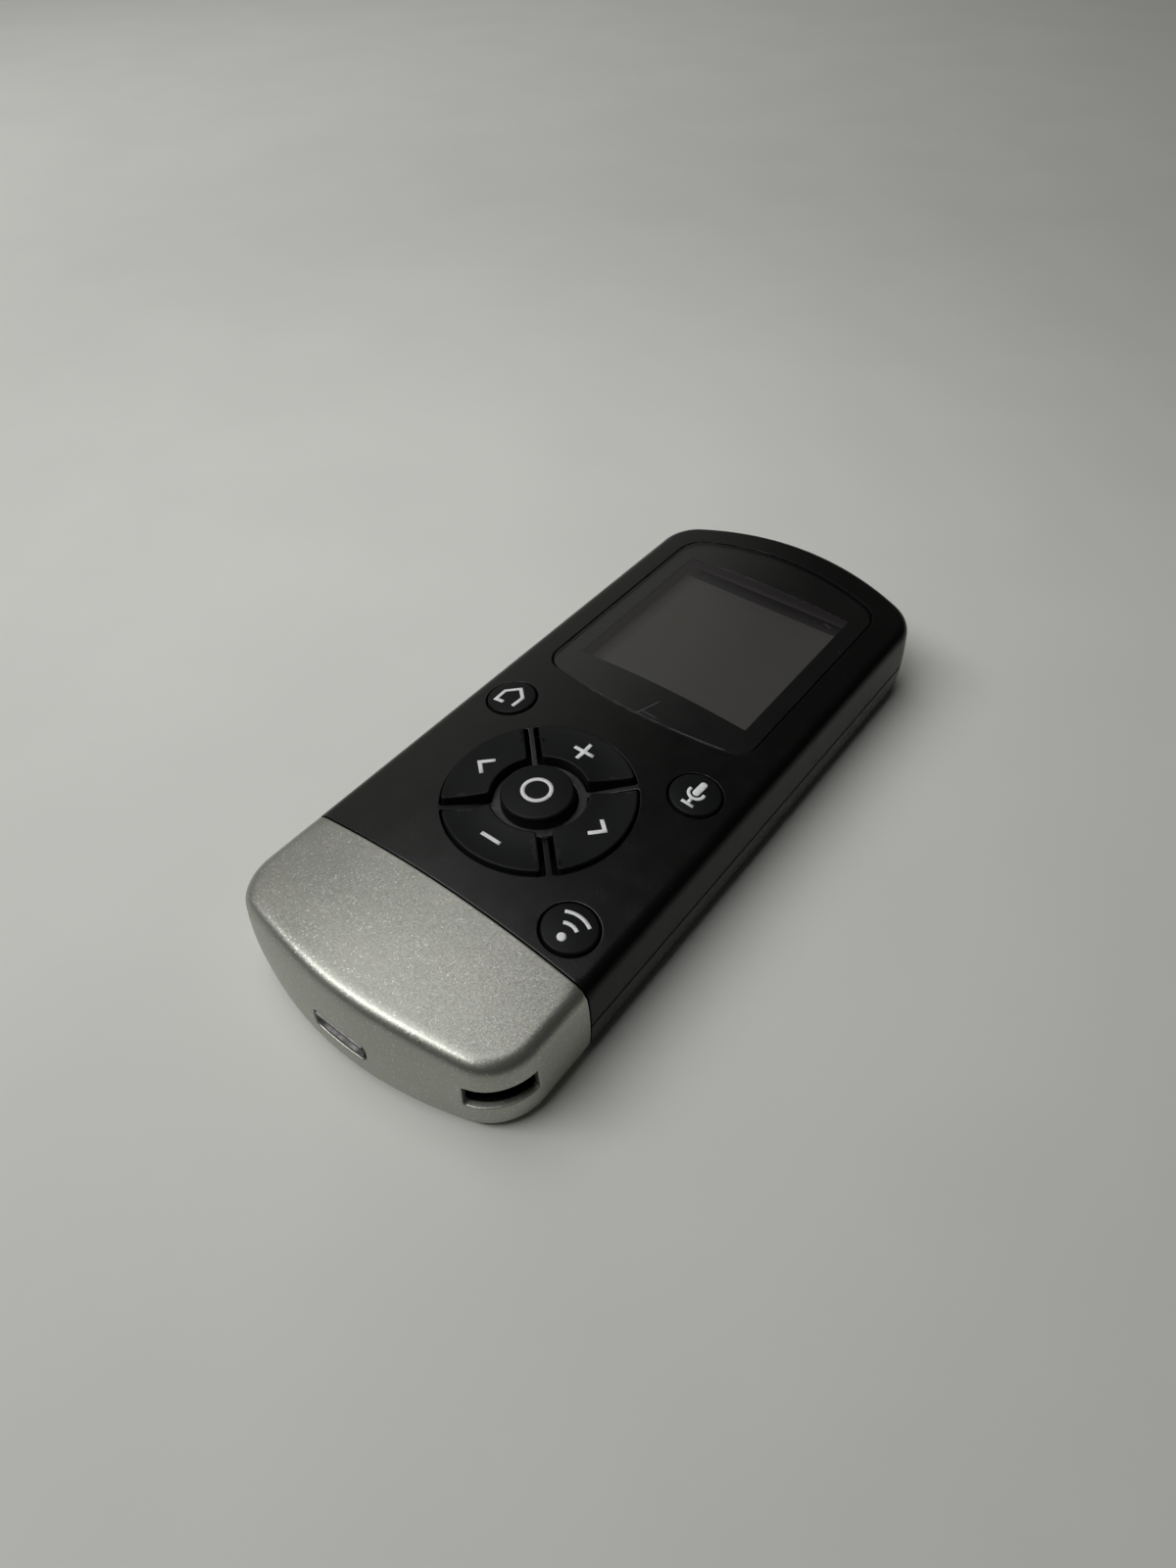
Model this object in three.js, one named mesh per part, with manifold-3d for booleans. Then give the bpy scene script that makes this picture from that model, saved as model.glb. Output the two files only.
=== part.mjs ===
// Pocket remote control: a slim crowned body with a small display, a ring of four keys round a
// raised centre key, three round keys, and a metallic end cap that slips over the casing's neck.
// Millimetres, +Z up out of the key face, +Y towards the display end. The origin is the centre of
// the flat rear face.
import * as THREE from 'three';
import { mergeVertices } from 'three/addons/utils/BufferGeometryUtils.js';
import Module from 'manifold-3d';

const wasm = await Module();
wasm.setup();
const { Manifold, Mesh: SolidMesh } = wasm;

// ---- Driving dimensions: the outer body ----
const bodyLength = 98.6;
const bodyWidth = 41.4;
const bodyThickness = 13.4;
const crownRadius = 134;          // the key face curves across its width
const lowEndRadius = 45;          // plan arc of the cap's end
const highEndRadius = 46;         // plan arc of the display end
const lowCornerRadius = 7.4;
const highCornerRadius = 6;
const topEdgeRadius = 1.7;
const bottomEdgeRadius = 2.2;
const wallBowRadius = 37;         // the side walls bulge a little between the faces
const partingHeight = 5.5;        // where the two casing halves meet, and the widest level
const partingGap = 0.2;

// ---- Casing walls ----
const sideWall = 1.6;
const topWall = 2.2;
const floorWall = 1.6;
const neckWall = 1.1;
const neckLength = 12;
const seamFlange = 1.2;           // solid casing behind the seam, before the cavity opens

// ---- End cap ----
const capLength = 18.05;          // from the low end to the seam, on the centre line
const seamBulge = 0.45;           // the seam arcs towards the keys in its middle
const seamGap = 0.15;
const capWall = 1.3;
const capFit = 0.15;
const noseLean = 1.2;             // how far the end wall leans back at the key face
const noseHalfWidth = 19;         // the lean fades out to here on each side,
const noseReach = 12;             // and to here from the low end
const noseEase = 9;
const slotHeight = 3.3;           // lanyard slot round the cap's corner
const slotStartAngle = -71;
const slotEndAngle = -5;
const pinRadius = 0.9;            // lanyard pin behind the slot
const pinFromCorner = 3.4;
const pinAngle = -38;
const pinBossRadius = 1.9;
const pinBossHeight = 1.2;
const pocketMargin = 0.6;

// ---- Keys ----
const ringFromLowEnd = 34.55;
const ringRadius = 11.88;         // the round field that holds the four ring keys
const hubRadius = 5.65;
const spokeWidth = 0.7;
const spokeSlot = 0.55;
const dishDepth = 0.75;           // the hub lies this far below the face
const selectRadius = 4.4;
const smallKeyRadius = 3.2;
const smallKeyFromSide = 6.36;
const smallKeyFromRing = 11.95;
const keyGap = 0.25;
const keyTravel = 0.4;
const ringKeyProud = 0.6;
const selectProud = 1.35;
const smallKeyProud = 0.45;
const flangeLip = 0.65;
const flangeThickness = 0.7;
const flangePlay = 0.3;
const plungerRadius = 1;
const domeRadius = 2.1;
const domeHeight = 0.3;
const domeAirGap = 0.1;
const matThickness = 0.8;
const matMargin = 0.5;

// ---- Display ----
const windowSide = 4.8;           // casing beside the window
const windowFromHighEnd = 5.25;
const windowFromRing = 6.62;
const windowLowRadius = 55;
const windowHighRadius = 45;
const windowLowCorner = 3.3;
const windowHighCorner = 4;
const windowGap = 0.15;
const lensThickness = 1.1;
const tapeThickness = 0.15;
const tapeInset = 0.5;
const layerGap = 0.05;
const sideBorder = 2.8;           // the window's printed border, round its clear field
const endBorder = 6.6;
const viewMargin = 1.4;           // the casing's opening round that field
const panelMargin = 1;
const panelThickness = 1;
const backlightThickness = 1.2;
const frameWall = 1.1;
const frameFloor = 0.5;
const frameFit = 0.1;
const flexWidth = 9;
const flexThickness = 0.2;
const flexReach = 4.2;

// ---- Board, battery, screws and socket ----
const boardThickness = 1;
const boardFit = 0.35;
const boardRest = 0.1;
const batterySideAir = 3.6;       // from the casing's wall
const batteryFromSeam = 2.2;
const batteryAir = 0.3;
const padThickness = 0.4;
const bossFromSide = 7.2;
const bossFromHighEnd = 6.7;
const bossFromSeam = 4.4;
const frontBossRadius = 2;
const rearBossRadius = 2.9;
const screwRadius = 0.85;
const screwHeadRadius = 1.75;
const screwHeadHeight = 1.2;
const screwHeadDepth = 0.75;
const screwPlay = 0.15;
const screwEndGap = 0.3;
const socketWidth = 7.5;
const socketHeight = 2.3;
const socketLength = 5;
const socketWall = 0.3;
const socketRecess = 0.9;
const socketGap = 0.25;
const tongueThickness = 0.6;
const tongueDrop = 0.7;           // from the socket's inner top to the tongue's middle
const tongueSetback = 1.2;        // from the socket's mouth

// ---- Battery parts and board components ----
const pouchRadius = 1;
const padInset = 3;
const plugFromSide = 4.5;         // from the cell's side to the plug's middle
const plugWidth = 5;
const plugLength = 3.4;
const plugHeight = 1.8;
const plugFromBattery = 2.4;
const leadRadius = 0.45;
const leadGap = 1.2;              // each lead from the plug's middle
const leadEndGap = 0.2;
const connectorHeight = 0.9;
const connectorLength = 2.6;
const connectorMargin = 0.5;
const chipFromDisplaySide = 5.1;  // two columns of parts
const chipsFromHighEnd = 27.35;   // their first row
const processorSize = 8;
const processorHeight = 1;
const memoryWidth = 6;
const memoryLength = 5;
const memoryHeight = 0.9;
const memoryPitch = 10;
const crystalWidth = 3.2;
const crystalLength = 2.5;
const crystalFromProcessor = 0.8;
const lowChipHeight = 0.8;
const radioChipSize = 5;
const shieldFromHighEnd = 16.15;
const plugFromShield = 2.4;
const shieldWidth = 11;
const shieldLength = 13;
const shieldHeight = 1.7;
const shieldWall = 0.3;
const chargerChipSize = 3;
const chargerX = -6;
const chargerFromSeam = 4;
const antennaLength = 12;
const antennaWidth = 2;
const antennaFromHighEnd = 6.2;
const crossReach = 1.1;           // the cross in each screw head
const crossHalfWidth = 0.22;
const crossDepth = 0.5;

// ---- Values that follow from them ----
const lowEnd = -bodyLength / 2;
const highEnd = bodyLength / 2;
const seamY = lowEnd + capLength;
const ringY = lowEnd + ringFromLowEnd;
const windowHigh = highEnd - windowFromHighEnd;
const windowLow = ringY + ringRadius + windowFromRing;
const windowY = (windowHigh + windowLow) / 2;
const windowWidth = bodyWidth - 2 * windowSide;
const displayWidth = windowWidth - 2 * sideBorder;
const displayHeight = windowHigh - windowLow - 2 * endBorder;
const smallKeyX = bodyWidth / 2 - smallKeyFromSide;
const neckInset = capWall + capFit;
const neckCavityInset = neckInset + neckWall;
const farAway = 2 * bodyLength;   // larger than the body, for cutting blocks
const crownOverhang = 2;          // how far past the sides the crown's cutting shape goes
const crownAt = (x) => bodyThickness - crownRadius + Math.sqrt(crownRadius ** 2 - x ** 2);

const bodyOutline = {
  width: bodyWidth, low: lowEnd, high: highEnd, lowRadius: lowEndRadius,
  highRadius: highEndRadius, lowCorner: lowCornerRadius, highCorner: highCornerRadius,
};
const windowOutline = {
  width: windowWidth, low: windowLow, high: windowHigh, lowRadius: windowLowRadius,
  highRadius: windowHighRadius, lowCorner: windowLowCorner, highCorner: windowHighCorner,
};

// The stack is worked out from the key face down: display, board, then the battery's space.
const frameHalfWidth = displayWidth / 2 + panelMargin + frameFit + frameWall;
const frameHalfHeight = displayHeight / 2 + panelMargin + frameFit + frameWall;
const displayTop = crownAt(frameHalfWidth) - topWall - frameFit;
const frameBottom = displayTop - panelThickness - backlightThickness - 2 * layerGap - frameFloor;
const boardTop = frameBottom - layerGap;
const boardBottom = boardTop - boardThickness;
const boardMiddle = (boardTop + boardBottom) / 2;
const domeTop = boardTop + layerGap + domeHeight;
const batteryBottom = floorWall + padThickness + 2 * layerGap;
const batteryTop = boardBottom - batteryAir;
const batteryWidth = bodyWidth - 2 * (sideWall + batterySideAir);
const batteryLow = seamY + batteryFromSeam;
const shieldY = highEnd - shieldFromHighEnd - shieldLength / 2;
const plugY = shieldY - shieldLength / 2 - plugFromShield - plugLength / 2;
const plugX = plugFromSide - batteryWidth / 2;
const batteryHigh = plugY - plugLength / 2 - plugFromBattery;
const batteryLength = batteryHigh - batteryLow;
const batteryMiddle = (batteryLow + batteryHigh) / 2;
const chipsY = highEnd - chipsFromHighEnd;
const chipColumn = displayWidth / 2 - chipFromDisplaySide;

// ---- Solids ----
function solidOf(geometry) {
  const bare = geometry.clone();
  bare.deleteAttribute('normal');
  bare.deleteAttribute('uv');
  const merged = mergeVertices(bare, 1e-4);
  return new Manifold(new SolidMesh({
    numProp: 3,
    vertProperties: new Float32Array(merged.attributes.position.array),
    triVerts: new Uint32Array(merged.index.array),
  }));
}

function geometryOf(solid) {
  const mesh = solid.getMesh();
  const geometry = new THREE.BufferGeometry();
  geometry.setAttribute('position', new THREE.BufferAttribute(mesh.vertProperties, 3));
  geometry.setIndex(new THREE.BufferAttribute(mesh.triVerts, 1));
  geometry.computeVertexNormals();
  return geometry;
}

// An upright prism of a plan shape
function prism(shape, zLow, zHigh, curveSegments = 6) {
  const geometry = new THREE.ExtrudeGeometry(shape, {
    depth: zHigh - zLow, bevelEnabled: false, curveSegments,
  });
  return solidOf(geometry.translate(0, 0, zLow));
}

function block(xLow, xHigh, yLow, yHigh, zLow, zHigh) {
  const geometry = new THREE.BoxGeometry(xHigh - xLow, yHigh - yLow, zHigh - zLow);
  geometry.translate((xLow + xHigh) / 2, (yLow + yHigh) / 2, (zLow + zHigh) / 2);
  return solidOf(geometry);
}

function post(x, y, radius, zLow, zHigh, sides = 16) {
  const geometry = new THREE.CylinderGeometry(radius, radius, zHigh - zLow, sides);
  geometry.rotateX(Math.PI / 2);
  geometry.translate(x, y, (zLow + zHigh) / 2);
  return solidOf(geometry);
}

// Everything below the crowned face lowered by depth, for a piece whose own x = 0 lies at centreX
function underCrown(depth, centreX = 0) {
  const reach = bodyWidth / 2 + crownOverhang;
  const steps = 18;
  const section = new THREE.Shape();
  section.moveTo(-reach - centreX, -bodyThickness);
  section.lineTo(reach - centreX, -bodyThickness);
  for (let i = 0; i <= steps; i++) {
    const x = reach - (2 * reach * i) / steps;
    section.lineTo(x - centreX, crownAt(x) - depth);
  }
  const geometry = new THREE.ExtrudeGeometry(section, { depth: farAway, bevelEnabled: false });
  geometry.rotateX(Math.PI / 2);
  return solidOf(geometry.translate(0, farAway / 2, 0));
}

// The right half of a rounded outline, from its low point to its high point on the centre line.
// Each end is one arc, joined to the straight sides by corner arcs.
function halfOutline(outline, inset, endSteps, cornerSteps) {
  const points = [];
  const half = outline.width / 2 - inset;
  const addEnd = (direction, tip, endRadius, cornerRadius) => {
    const centreY = tip - direction * endRadius;
    const cornerX = half - cornerRadius;
    const cornerY = centreY + direction * Math.sqrt((endRadius - cornerRadius) ** 2 - cornerX ** 2);
    const meet = Math.atan2(Math.abs(cornerY - centreY), cornerX);
    const end = [];
    for (let i = 0; i < endSteps; i++) {
      const angle = Math.PI / 2 + ((meet - Math.PI / 2) * i) / endSteps;
      end.push([endRadius * Math.cos(angle), centreY + direction * endRadius * Math.sin(angle)]);
    }
    for (let i = 0; i <= cornerSteps; i++) {
      const angle = meet * (1 - i / cornerSteps);
      end.push([cornerX + cornerRadius * Math.cos(angle),
        cornerY + direction * cornerRadius * Math.sin(angle)]);
    }
    points.push(...(direction < 0 ? end : end.reverse()));
  };
  const smallest = 0.3;
  addEnd(-1, outline.low + inset, outline.lowRadius - inset,
    Math.max(outline.lowCorner - inset, smallest));
  addEnd(1, outline.high - inset, outline.highRadius - inset,
    Math.max(outline.highCorner - inset, smallest));
  return points;
}

function outlineShape(outline, inset = 0) {
  const right = halfOutline(outline, inset, 8, 6);
  const left = right.slice(1, -1).reverse().map(([x, y]) => [-x, y]);
  return new THREE.Shape([...right, ...left].map(([x, y]) => new THREE.Vector2(x, y)));
}

// The closed outer body: level rings of the outline, a flat rear face and a crowned key face
function outerBody() {
  const wallInset = (z) => (z - partingHeight) ** 2 / (2 * wallBowRadius);
  const edgeSteps = 4;
  const rings = [];
  for (let i = 0; i <= edgeSteps; i++) {
    const angle = (Math.PI / 2) * (1 - i / edgeSteps);
    const inset = wallInset(bottomEdgeRadius) + bottomEdgeRadius * (1 - Math.cos(angle));
    rings.push({ inset, height: () => bottomEdgeRadius * (1 - Math.sin(angle)) });
  }
  rings.push({ inset: 0, height: () => partingHeight });
  const upperWall = (partingHeight + bodyThickness - topEdgeRadius) / 2;
  rings.push({ inset: wallInset(upperWall), height: () => upperWall });
  for (let i = 0; i <= edgeSteps; i++) {
    const angle = (Math.PI / 2) * (i / edgeSteps);
    const wallTop = crownAt(bodyWidth / 2) - topEdgeRadius;
    const inset = wallInset(wallTop) + topEdgeRadius * (1 - Math.cos(angle));
    rings.push({ inset, height: (x) => crownAt(x) - topEdgeRadius * (1 - Math.sin(angle)) });
  }
  const vertices = [];
  const triangles = [];
  const halves = rings.map((ring) => halfOutline(bodyOutline, ring.inset, 8, 6));
  const last = halves[0].length - 1;
  const ringSize = 2 * last;
  rings.forEach((ring, r) => {
    const right = halves[r];
    const left = right.slice(1, -1).reverse().map(([x, y]) => [-x, y]);
    for (const [x, y] of [...right, ...left]) vertices.push(x, y, ring.height(x));
  });
  for (let r = 0; r + 1 < rings.length; r++) {
    for (let j = 0; j < ringSize; j++) {
      const a = r * ringSize + j;
      const b = r * ringSize + ((j + 1) % ringSize);
      triangles.push(a, b, b + ringSize, a, b + ringSize, a + ringSize);
    }
  }
  const leftOf = (i) => (ringSize - i) % ringSize;
  for (let i = 0; i < last; i++) {
    triangles.push(i, leftOf(i), leftOf(i + 1));
    triangles.push(i, leftOf(i + 1), i + 1);
  }
  // Rows across the key face, each split into columns that follow the crown
  const columns = 10;
  const topRing = (rings.length - 1) * ringSize;
  const rows = halves[rings.length - 1].map(([x, y], i) => {
    if (i === 0 || i === last) return [topRing + i];
    const row = [topRing + leftOf(i)];
    for (let c = 1; c < columns; c++) {
      const across = -x + (2 * x * c) / columns;
      row.push(vertices.length / 3);
      vertices.push(across, y, crownAt(across));
    }
    row.push(topRing + i);
    return row;
  });
  for (let i = 0; i < last; i++) {
    const [low, high] = [rows[i], rows[i + 1]];
    for (let c = 0; c < columns; c++) {
      const lowAt = (k) => low[Math.min(k, low.length - 1)];
      const highAt = (k) => high[Math.min(k, high.length - 1)];
      if (low.length > 1) triangles.push(lowAt(c), lowAt(c + 1), highAt(c + 1));
      if (high.length > 1) triangles.push(lowAt(c), highAt(c + 1), highAt(c));
    }
  }
  const geometry = new THREE.BufferGeometry();
  geometry.setAttribute('position', new THREE.Float32BufferAttribute(vertices, 3));
  geometry.setIndex(triangles.filter((_, k) => {
    const t = k - (k % 3);
    return new Set(triangles.slice(t, t + 3)).size === 3;
  }));
  return solidOf(geometry);
}

// A solid whose low end leans back in proportion to height, most in the middle
function leaned(solid) {
  return solid.warp((point) => {
    const [x, y, z] = point;
    const middle = Math.max(0, 1 - (x / noseHalfWidth) ** 4) ** 2;
    const near = THREE.MathUtils.smoothstep(lowEnd + noseReach - y, 0, noseEase);
    point[1] = y + noseLean * (z / bodyThickness) * middle * near;
  });
}

// The half plane on the key side of the seam, moved by shift: its edge is a flat arc
function seamSide(shift) {
  const half = bodyWidth / 2 + 1;
  const region = new THREE.Shape();
  region.moveTo(half, farAway);
  region.lineTo(-half, farAway);
  region.lineTo(-half, seamY + shift - seamBulge);
  region.quadraticCurveTo(0, seamY + shift + seamBulge, half, seamY + shift - seamBulge);
  return prism(region, -bodyThickness, 2 * bodyThickness, 8);
}

const below = (z) => block(-farAway, farAway, -farAway, farAway, -farAway, z);
const above = (z) => block(-farAway, farAway, -farAway, farAway, z, farAway);

// ---- Materials, one for each finish ----
function finish(color, roughness, metalness = 0) {
  return new THREE.MeshStandardMaterial({ color, roughness, metalness });
}
const group = new THREE.Group();
function add(name, geometry, material, x = 0, y = 0, z = 0) {
  const mesh = new THREE.Mesh(geometry, material);
  mesh.name = name;
  mesh.position.set(x, y, z);
  group.add(mesh);
  return mesh;
}

// ---- Casing ----
const body = leaned(outerBody());
const keySide = seamSide(seamGap / 2);
const neckEnd = seamY - neckLength;
const neck = prism(outlineShape(bodyOutline, neckInset), neckInset, farAway)
  .intersect(underCrown(neckInset))
  .intersect(block(-farAway, farAway, neckEnd, seamY + seamFlange / 2, -farAway, farAway));
const mainCavity = prism(outlineShape(bodyOutline, sideWall), floorWall, farAway)
  .intersect(underCrown(topWall))
  .intersect(seamSide(seamFlange));
const neckCavity = prism(outlineShape(bodyOutline, neckCavityInset), neckCavityInset, farAway)
  .intersect(underCrown(neckCavityInset));
const cavity = mainCavity.add(neckCavity);

// The lanyard pin stands behind the cap's corner, whose centre the outline gives
const cornerX = bodyWidth / 2 - lowCornerRadius;
const cornerY = lowEnd + lowEndRadius
  - Math.sqrt((lowEndRadius - lowCornerRadius) ** 2 - cornerX ** 2);
const pinX = cornerX + pinFromCorner * Math.cos(THREE.MathUtils.degToRad(pinAngle));
const pinY = cornerY + pinFromCorner * Math.sin(THREE.MathUtils.degToRad(pinAngle));
const pocketX = pinX - pinBossRadius - pocketMargin;
const pocketY = pinY + pinBossRadius + pocketMargin;
const lanyardPocket = block(pocketX, farAway, -farAway, pocketY, -farAway, farAway);

const casing = body.intersect(keySide).add(neck).subtract(cavity).subtract(lanyardPocket);

// Four screw columns: two at the display end, two in the neck under the cap
const screwPlaces = [];
for (const side of [-1, 1]) {
  const hand = side < 0 ? 'left' : 'right';
  screwPlaces.push({
    name: `case_screw_${hand}`,
    x: side * (bodyWidth / 2 - bossFromSide), y: highEnd - bossFromHighEnd,
    face: 0, headDepth: screwHeadDepth, ceiling: topWall,
  });
  screwPlaces.push({
    name: `neck_screw_${hand}`,
    x: side * (bodyWidth / 2 - bossFromSide), y: seamY - bossFromSeam,
    face: neckInset, headDepth: capFit, ceiling: neckCavityInset,
  });
}
for (const place of screwPlaces) {
  place.seat = place.face + place.headDepth + screwHeadHeight + screwPlay / 2;
  place.holeTop = crownAt(place.x) - place.ceiling;
}

let rear = casing.intersect(below(partingHeight - partingGap / 2));
let front = casing.intersect(above(partingHeight + partingGap / 2));
for (const { x, y, face, seat, holeTop } of screwPlaces) {
  rear = rear.add(post(x, y, rearBossRadius, face + floorWall / 2, partingHeight - partingGap / 2)
    .intersect(casing.add(cavity)));
  rear = rear.add(post(x, y, frontBossRadius, seat, boardBottom - boardRest / 2));
  rear = rear.subtract(post(x, y, screwHeadRadius + screwPlay, -1, seat));
  rear = rear.subtract(post(x, y, screwRadius + screwPlay, 0, boardTop));
  front = front.add(post(x, y, frontBossRadius, boardTop + boardRest / 2, holeTop + topWall / 4));
  front = front.subtract(post(x, y, screwRadius + screwPlay, 0, holeTop - screwPlay));
}

// Window recess with a ledge, and the opening for the display below it
const lensDepth = lensThickness + tapeThickness + 2 * layerGap;
const recess = prism(outlineShape(windowOutline), 0, farAway).subtract(underCrown(lensDepth));
const viewHalfWidth = displayWidth / 2 + viewMargin;
const viewHalfHeight = displayHeight / 2 + viewMargin;
const view = block(-viewHalfWidth, viewHalfWidth, windowY - viewHalfHeight,
  windowY + viewHalfHeight, boardTop, farAway);
front = front.subtract(recess).subtract(view);

// Plan of one ring key or of its opening: a sector cut parallel to the spokes
function sectorShape(angle, innerRadius, outerRadius, sideGap) {
  const outer = Math.PI / 4 - Math.asin(sideGap / outerRadius);
  const inner = Math.PI / 4 - Math.asin(sideGap / innerRadius);
  const shape = new THREE.Shape();
  shape.absarc(0, 0, outerRadius, angle - outer, angle + outer, false);
  shape.absarc(0, 0, innerRadius, angle + inner, angle - inner, true);
  shape.closePath();
  return shape;
}
function circleShape(radius) {
  const shape = new THREE.Shape();
  shape.absarc(0, 0, radius, 0, 2 * Math.PI, false);
  return shape;
}

// Every key: its plan, its opening's plan, how far it stands proud and how wide its flange is
const ringKeyInner = hubRadius + keyGap;
const ringKeyOuter = ringRadius - keyGap;
const ringKeySide = spokeWidth / 2 + spokeSlot;
const keys = [];
const ringKeyNames = ['key_right', 'key_plus', 'key_left', 'key_minus'];
ringKeyNames.forEach((name, i) => {
  const angle = (i * Math.PI) / 2;
  const reach = (ringKeyInner + ringKeyOuter) / 2;
  keys.push({
    name, x: 0, y: ringY, proud: ringKeyProud,
    plan: sectorShape(angle, ringKeyInner, ringKeyOuter, ringKeySide),
    flange: sectorShape(angle, ringKeyInner, ringKeyOuter + flangeLip, ringKeySide),
    opening: sectorShape(angle, hubRadius, ringRadius, spokeWidth / 2),
    outermost: ringKeyOuter + flangeLip,
    plungerX: reach * Math.cos(angle), plungerY: reach * Math.sin(angle), segments: 8,
  });
});
function roundKey(name, x, y, radius, proud) {
  keys.push({
    name, x, y, proud, plan: circleShape(radius), flange: circleShape(radius + flangeLip),
    opening: circleShape(radius + keyGap), outermost: Math.abs(x) + radius + flangeLip,
    plungerX: 0, plungerY: 0, segments: 14,
  });
}
roundKey('key_select', 0, ringY, selectRadius, selectProud);
roundKey('key_home', -smallKeyX, ringY + smallKeyFromRing, smallKeyRadius, smallKeyProud);
roundKey('key_microphone', smallKeyX, ringY + smallKeyFromRing, smallKeyRadius, smallKeyProud);
roundKey('key_streaming', smallKeyX, ringY - smallKeyFromRing, smallKeyRadius, smallKeyProud);

// The key field is dished: full depth over the hub, rising to the face at the field's edge
const dish = new THREE.LatheGeometry([
  new THREE.Vector2(0, -dishDepth), new THREE.Vector2(hubRadius, -dishDepth),
  new THREE.Vector2(ringRadius, 0), new THREE.Vector2(ringRadius, topWall),
  new THREE.Vector2(0, topWall),
], 48).rotateX(Math.PI / 2).translate(0, ringY, bodyThickness);
front = front.subtract(solidOf(dish));
for (const key of keys) {
  const opening = prism(key.opening, boardTop, farAway, key.segments);
  front = front.subtract(opening.translate([key.x, key.y, 0]));
}

const shellBlack = finish(0x201f1f, 0.55);
add('front_housing', geometryOf(front), shellBlack);
add('rear_housing', geometryOf(rear), finish(0x262626, 0.6));

// ---- End cap: a sleeve with the socket's opening, the lanyard slot and the pin's bosses ----
const capInside = leaned(prism(outlineShape(bodyOutline, capWall), capWall, farAway)
  .intersect(underCrown(capWall)));
const slotMiddle = boardMiddle;
const slotShape = new THREE.Shape();
const slotStart = THREE.MathUtils.degToRad(slotStartAngle);
const slotEnd = THREE.MathUtils.degToRad(slotEndAngle);
slotShape.absarc(0, 0, lowCornerRadius + 1, slotStart, slotEnd, false);
slotShape.absarc(0, 0, lowCornerRadius - 2 * capWall, slotEnd, slotStart, true);
const slot = prism(slotShape, slotMiddle - slotHeight / 2, slotMiddle + slotHeight / 2)
  .translate([cornerX, cornerY, 0]);
const portHalfWidth = socketWidth / 2 + socketGap;
const portHalfHeight = socketHeight / 2 + socketGap;
const socketZ = partingHeight;
const port = block(-portHalfWidth, portHalfWidth, -farAway,
  lowEnd + 2 * capWall, socketZ - portHalfHeight, socketZ + portHalfHeight);
const pinCeiling = crownAt(pinX) - capWall;
let cap = body.subtract(seamSide(-seamGap / 2)).subtract(capInside);
cap = cap.add(post(pinX, pinY, pinBossRadius, capWall / 2, capWall + pinBossHeight));
cap = cap.add(post(pinX, pinY, pinBossRadius, pinCeiling - pinBossHeight,
  pinCeiling + capWall / 2));
cap = cap.subtract(post(pinX, pinY, pinRadius + layerGap, capWall, pinCeiling));
cap = cap.subtract(slot).subtract(port);
add('end_cap', geometryOf(cap), finish(0x9a9a92, 0.35, 0.7));

const pinLength = pinCeiling - capWall - 2 * layerGap;
const pin = new THREE.CylinderGeometry(pinRadius, pinRadius, pinLength, 12);
add('lanyard_pin', pin.rotateX(Math.PI / 2), finish(0xb9bab8, 0.25, 1),
  pinX, pinY, capWall + layerGap + pinLength / 2);

// ---- Display window on its adhesive frame ----
const lens = prism(outlineShape(windowOutline, windowGap), 0, farAway)
  .intersect(underCrown(0)).subtract(underCrown(lensThickness));
add('display_window', geometryOf(lens), finish(0x0b0b0c, 0.08));
const tapeTop = lensThickness + layerGap;
const tape = prism(outlineShape(windowOutline, tapeInset), 0, farAway)
  .intersect(underCrown(tapeTop)).subtract(underCrown(tapeTop + tapeThickness))
  .subtract(block(-viewHalfWidth, viewHalfWidth, windowY - viewHalfHeight,
    windowY + viewHalfHeight, 0, farAway));
add('window_adhesive', geometryOf(tape), finish(0x161616, 0.8));

// ---- Keys: each cap passes its opening, and its flange catches under the casing ----
const rubber = finish(0x141518, 0.6);
for (const key of keys) {
  const flangeTop = crownAt(key.outermost) - topWall - flangePlay;
  const flangeBottom = flangeTop - flangeThickness;
  let solid = prism(key.plan, flangeBottom, farAway, key.segments)
    .intersect(underCrown(-key.proud, key.x));
  solid = solid.add(prism(key.flange, flangeBottom, flangeTop, key.segments));
  const plungerEnd = domeTop + domeAirGap + keyTravel;
  solid = solid.add(post(key.plungerX, key.plungerY, plungerRadius, plungerEnd,
    flangeBottom + flangeThickness / 2, 12));
  add(key.name, geometryOf(solid), rubber, key.x, key.y);
}

// ---- Board and what is soldered to it ----
let board = prism(outlineShape(bodyOutline, neckCavityInset + boardFit), boardBottom, boardTop)
  .subtract(block(pocketX - boardFit, farAway, -farAway, pocketY + boardFit, 0, farAway));
const socketMouth = lowEnd + socketRecess;
board = board.subtract(block(-portHalfWidth, portHalfWidth, -farAway,
  socketMouth + socketLength + socketGap, 0, farAway));
for (const { x, y } of screwPlaces) {
  board = board.subtract(post(x, y, screwRadius + screwPlay, 0, farAway));
}
add('main_board', geometryOf(board), finish(0x1d4a2c, 0.45));

const metalDome = finish(0xc4c2ba, 0.3, 1);
const domeProfile = [];
for (let i = 0; i <= 3; i++) {
  const angle = (Math.PI / 2) * (i / 3);
  domeProfile.push(new THREE.Vector2(domeRadius * Math.cos(angle), domeHeight * Math.sin(angle)));
}
domeProfile.unshift(new THREE.Vector2(0, 0));
for (const key of keys) {
  const dome = new THREE.LatheGeometry(domeProfile, 12).rotateX(Math.PI / 2);
  add(key.name.replace('key', 'dome'), dome, metalDome,
    key.x + key.plungerX, key.y + key.plungerY, boardTop + layerGap);
}

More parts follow.
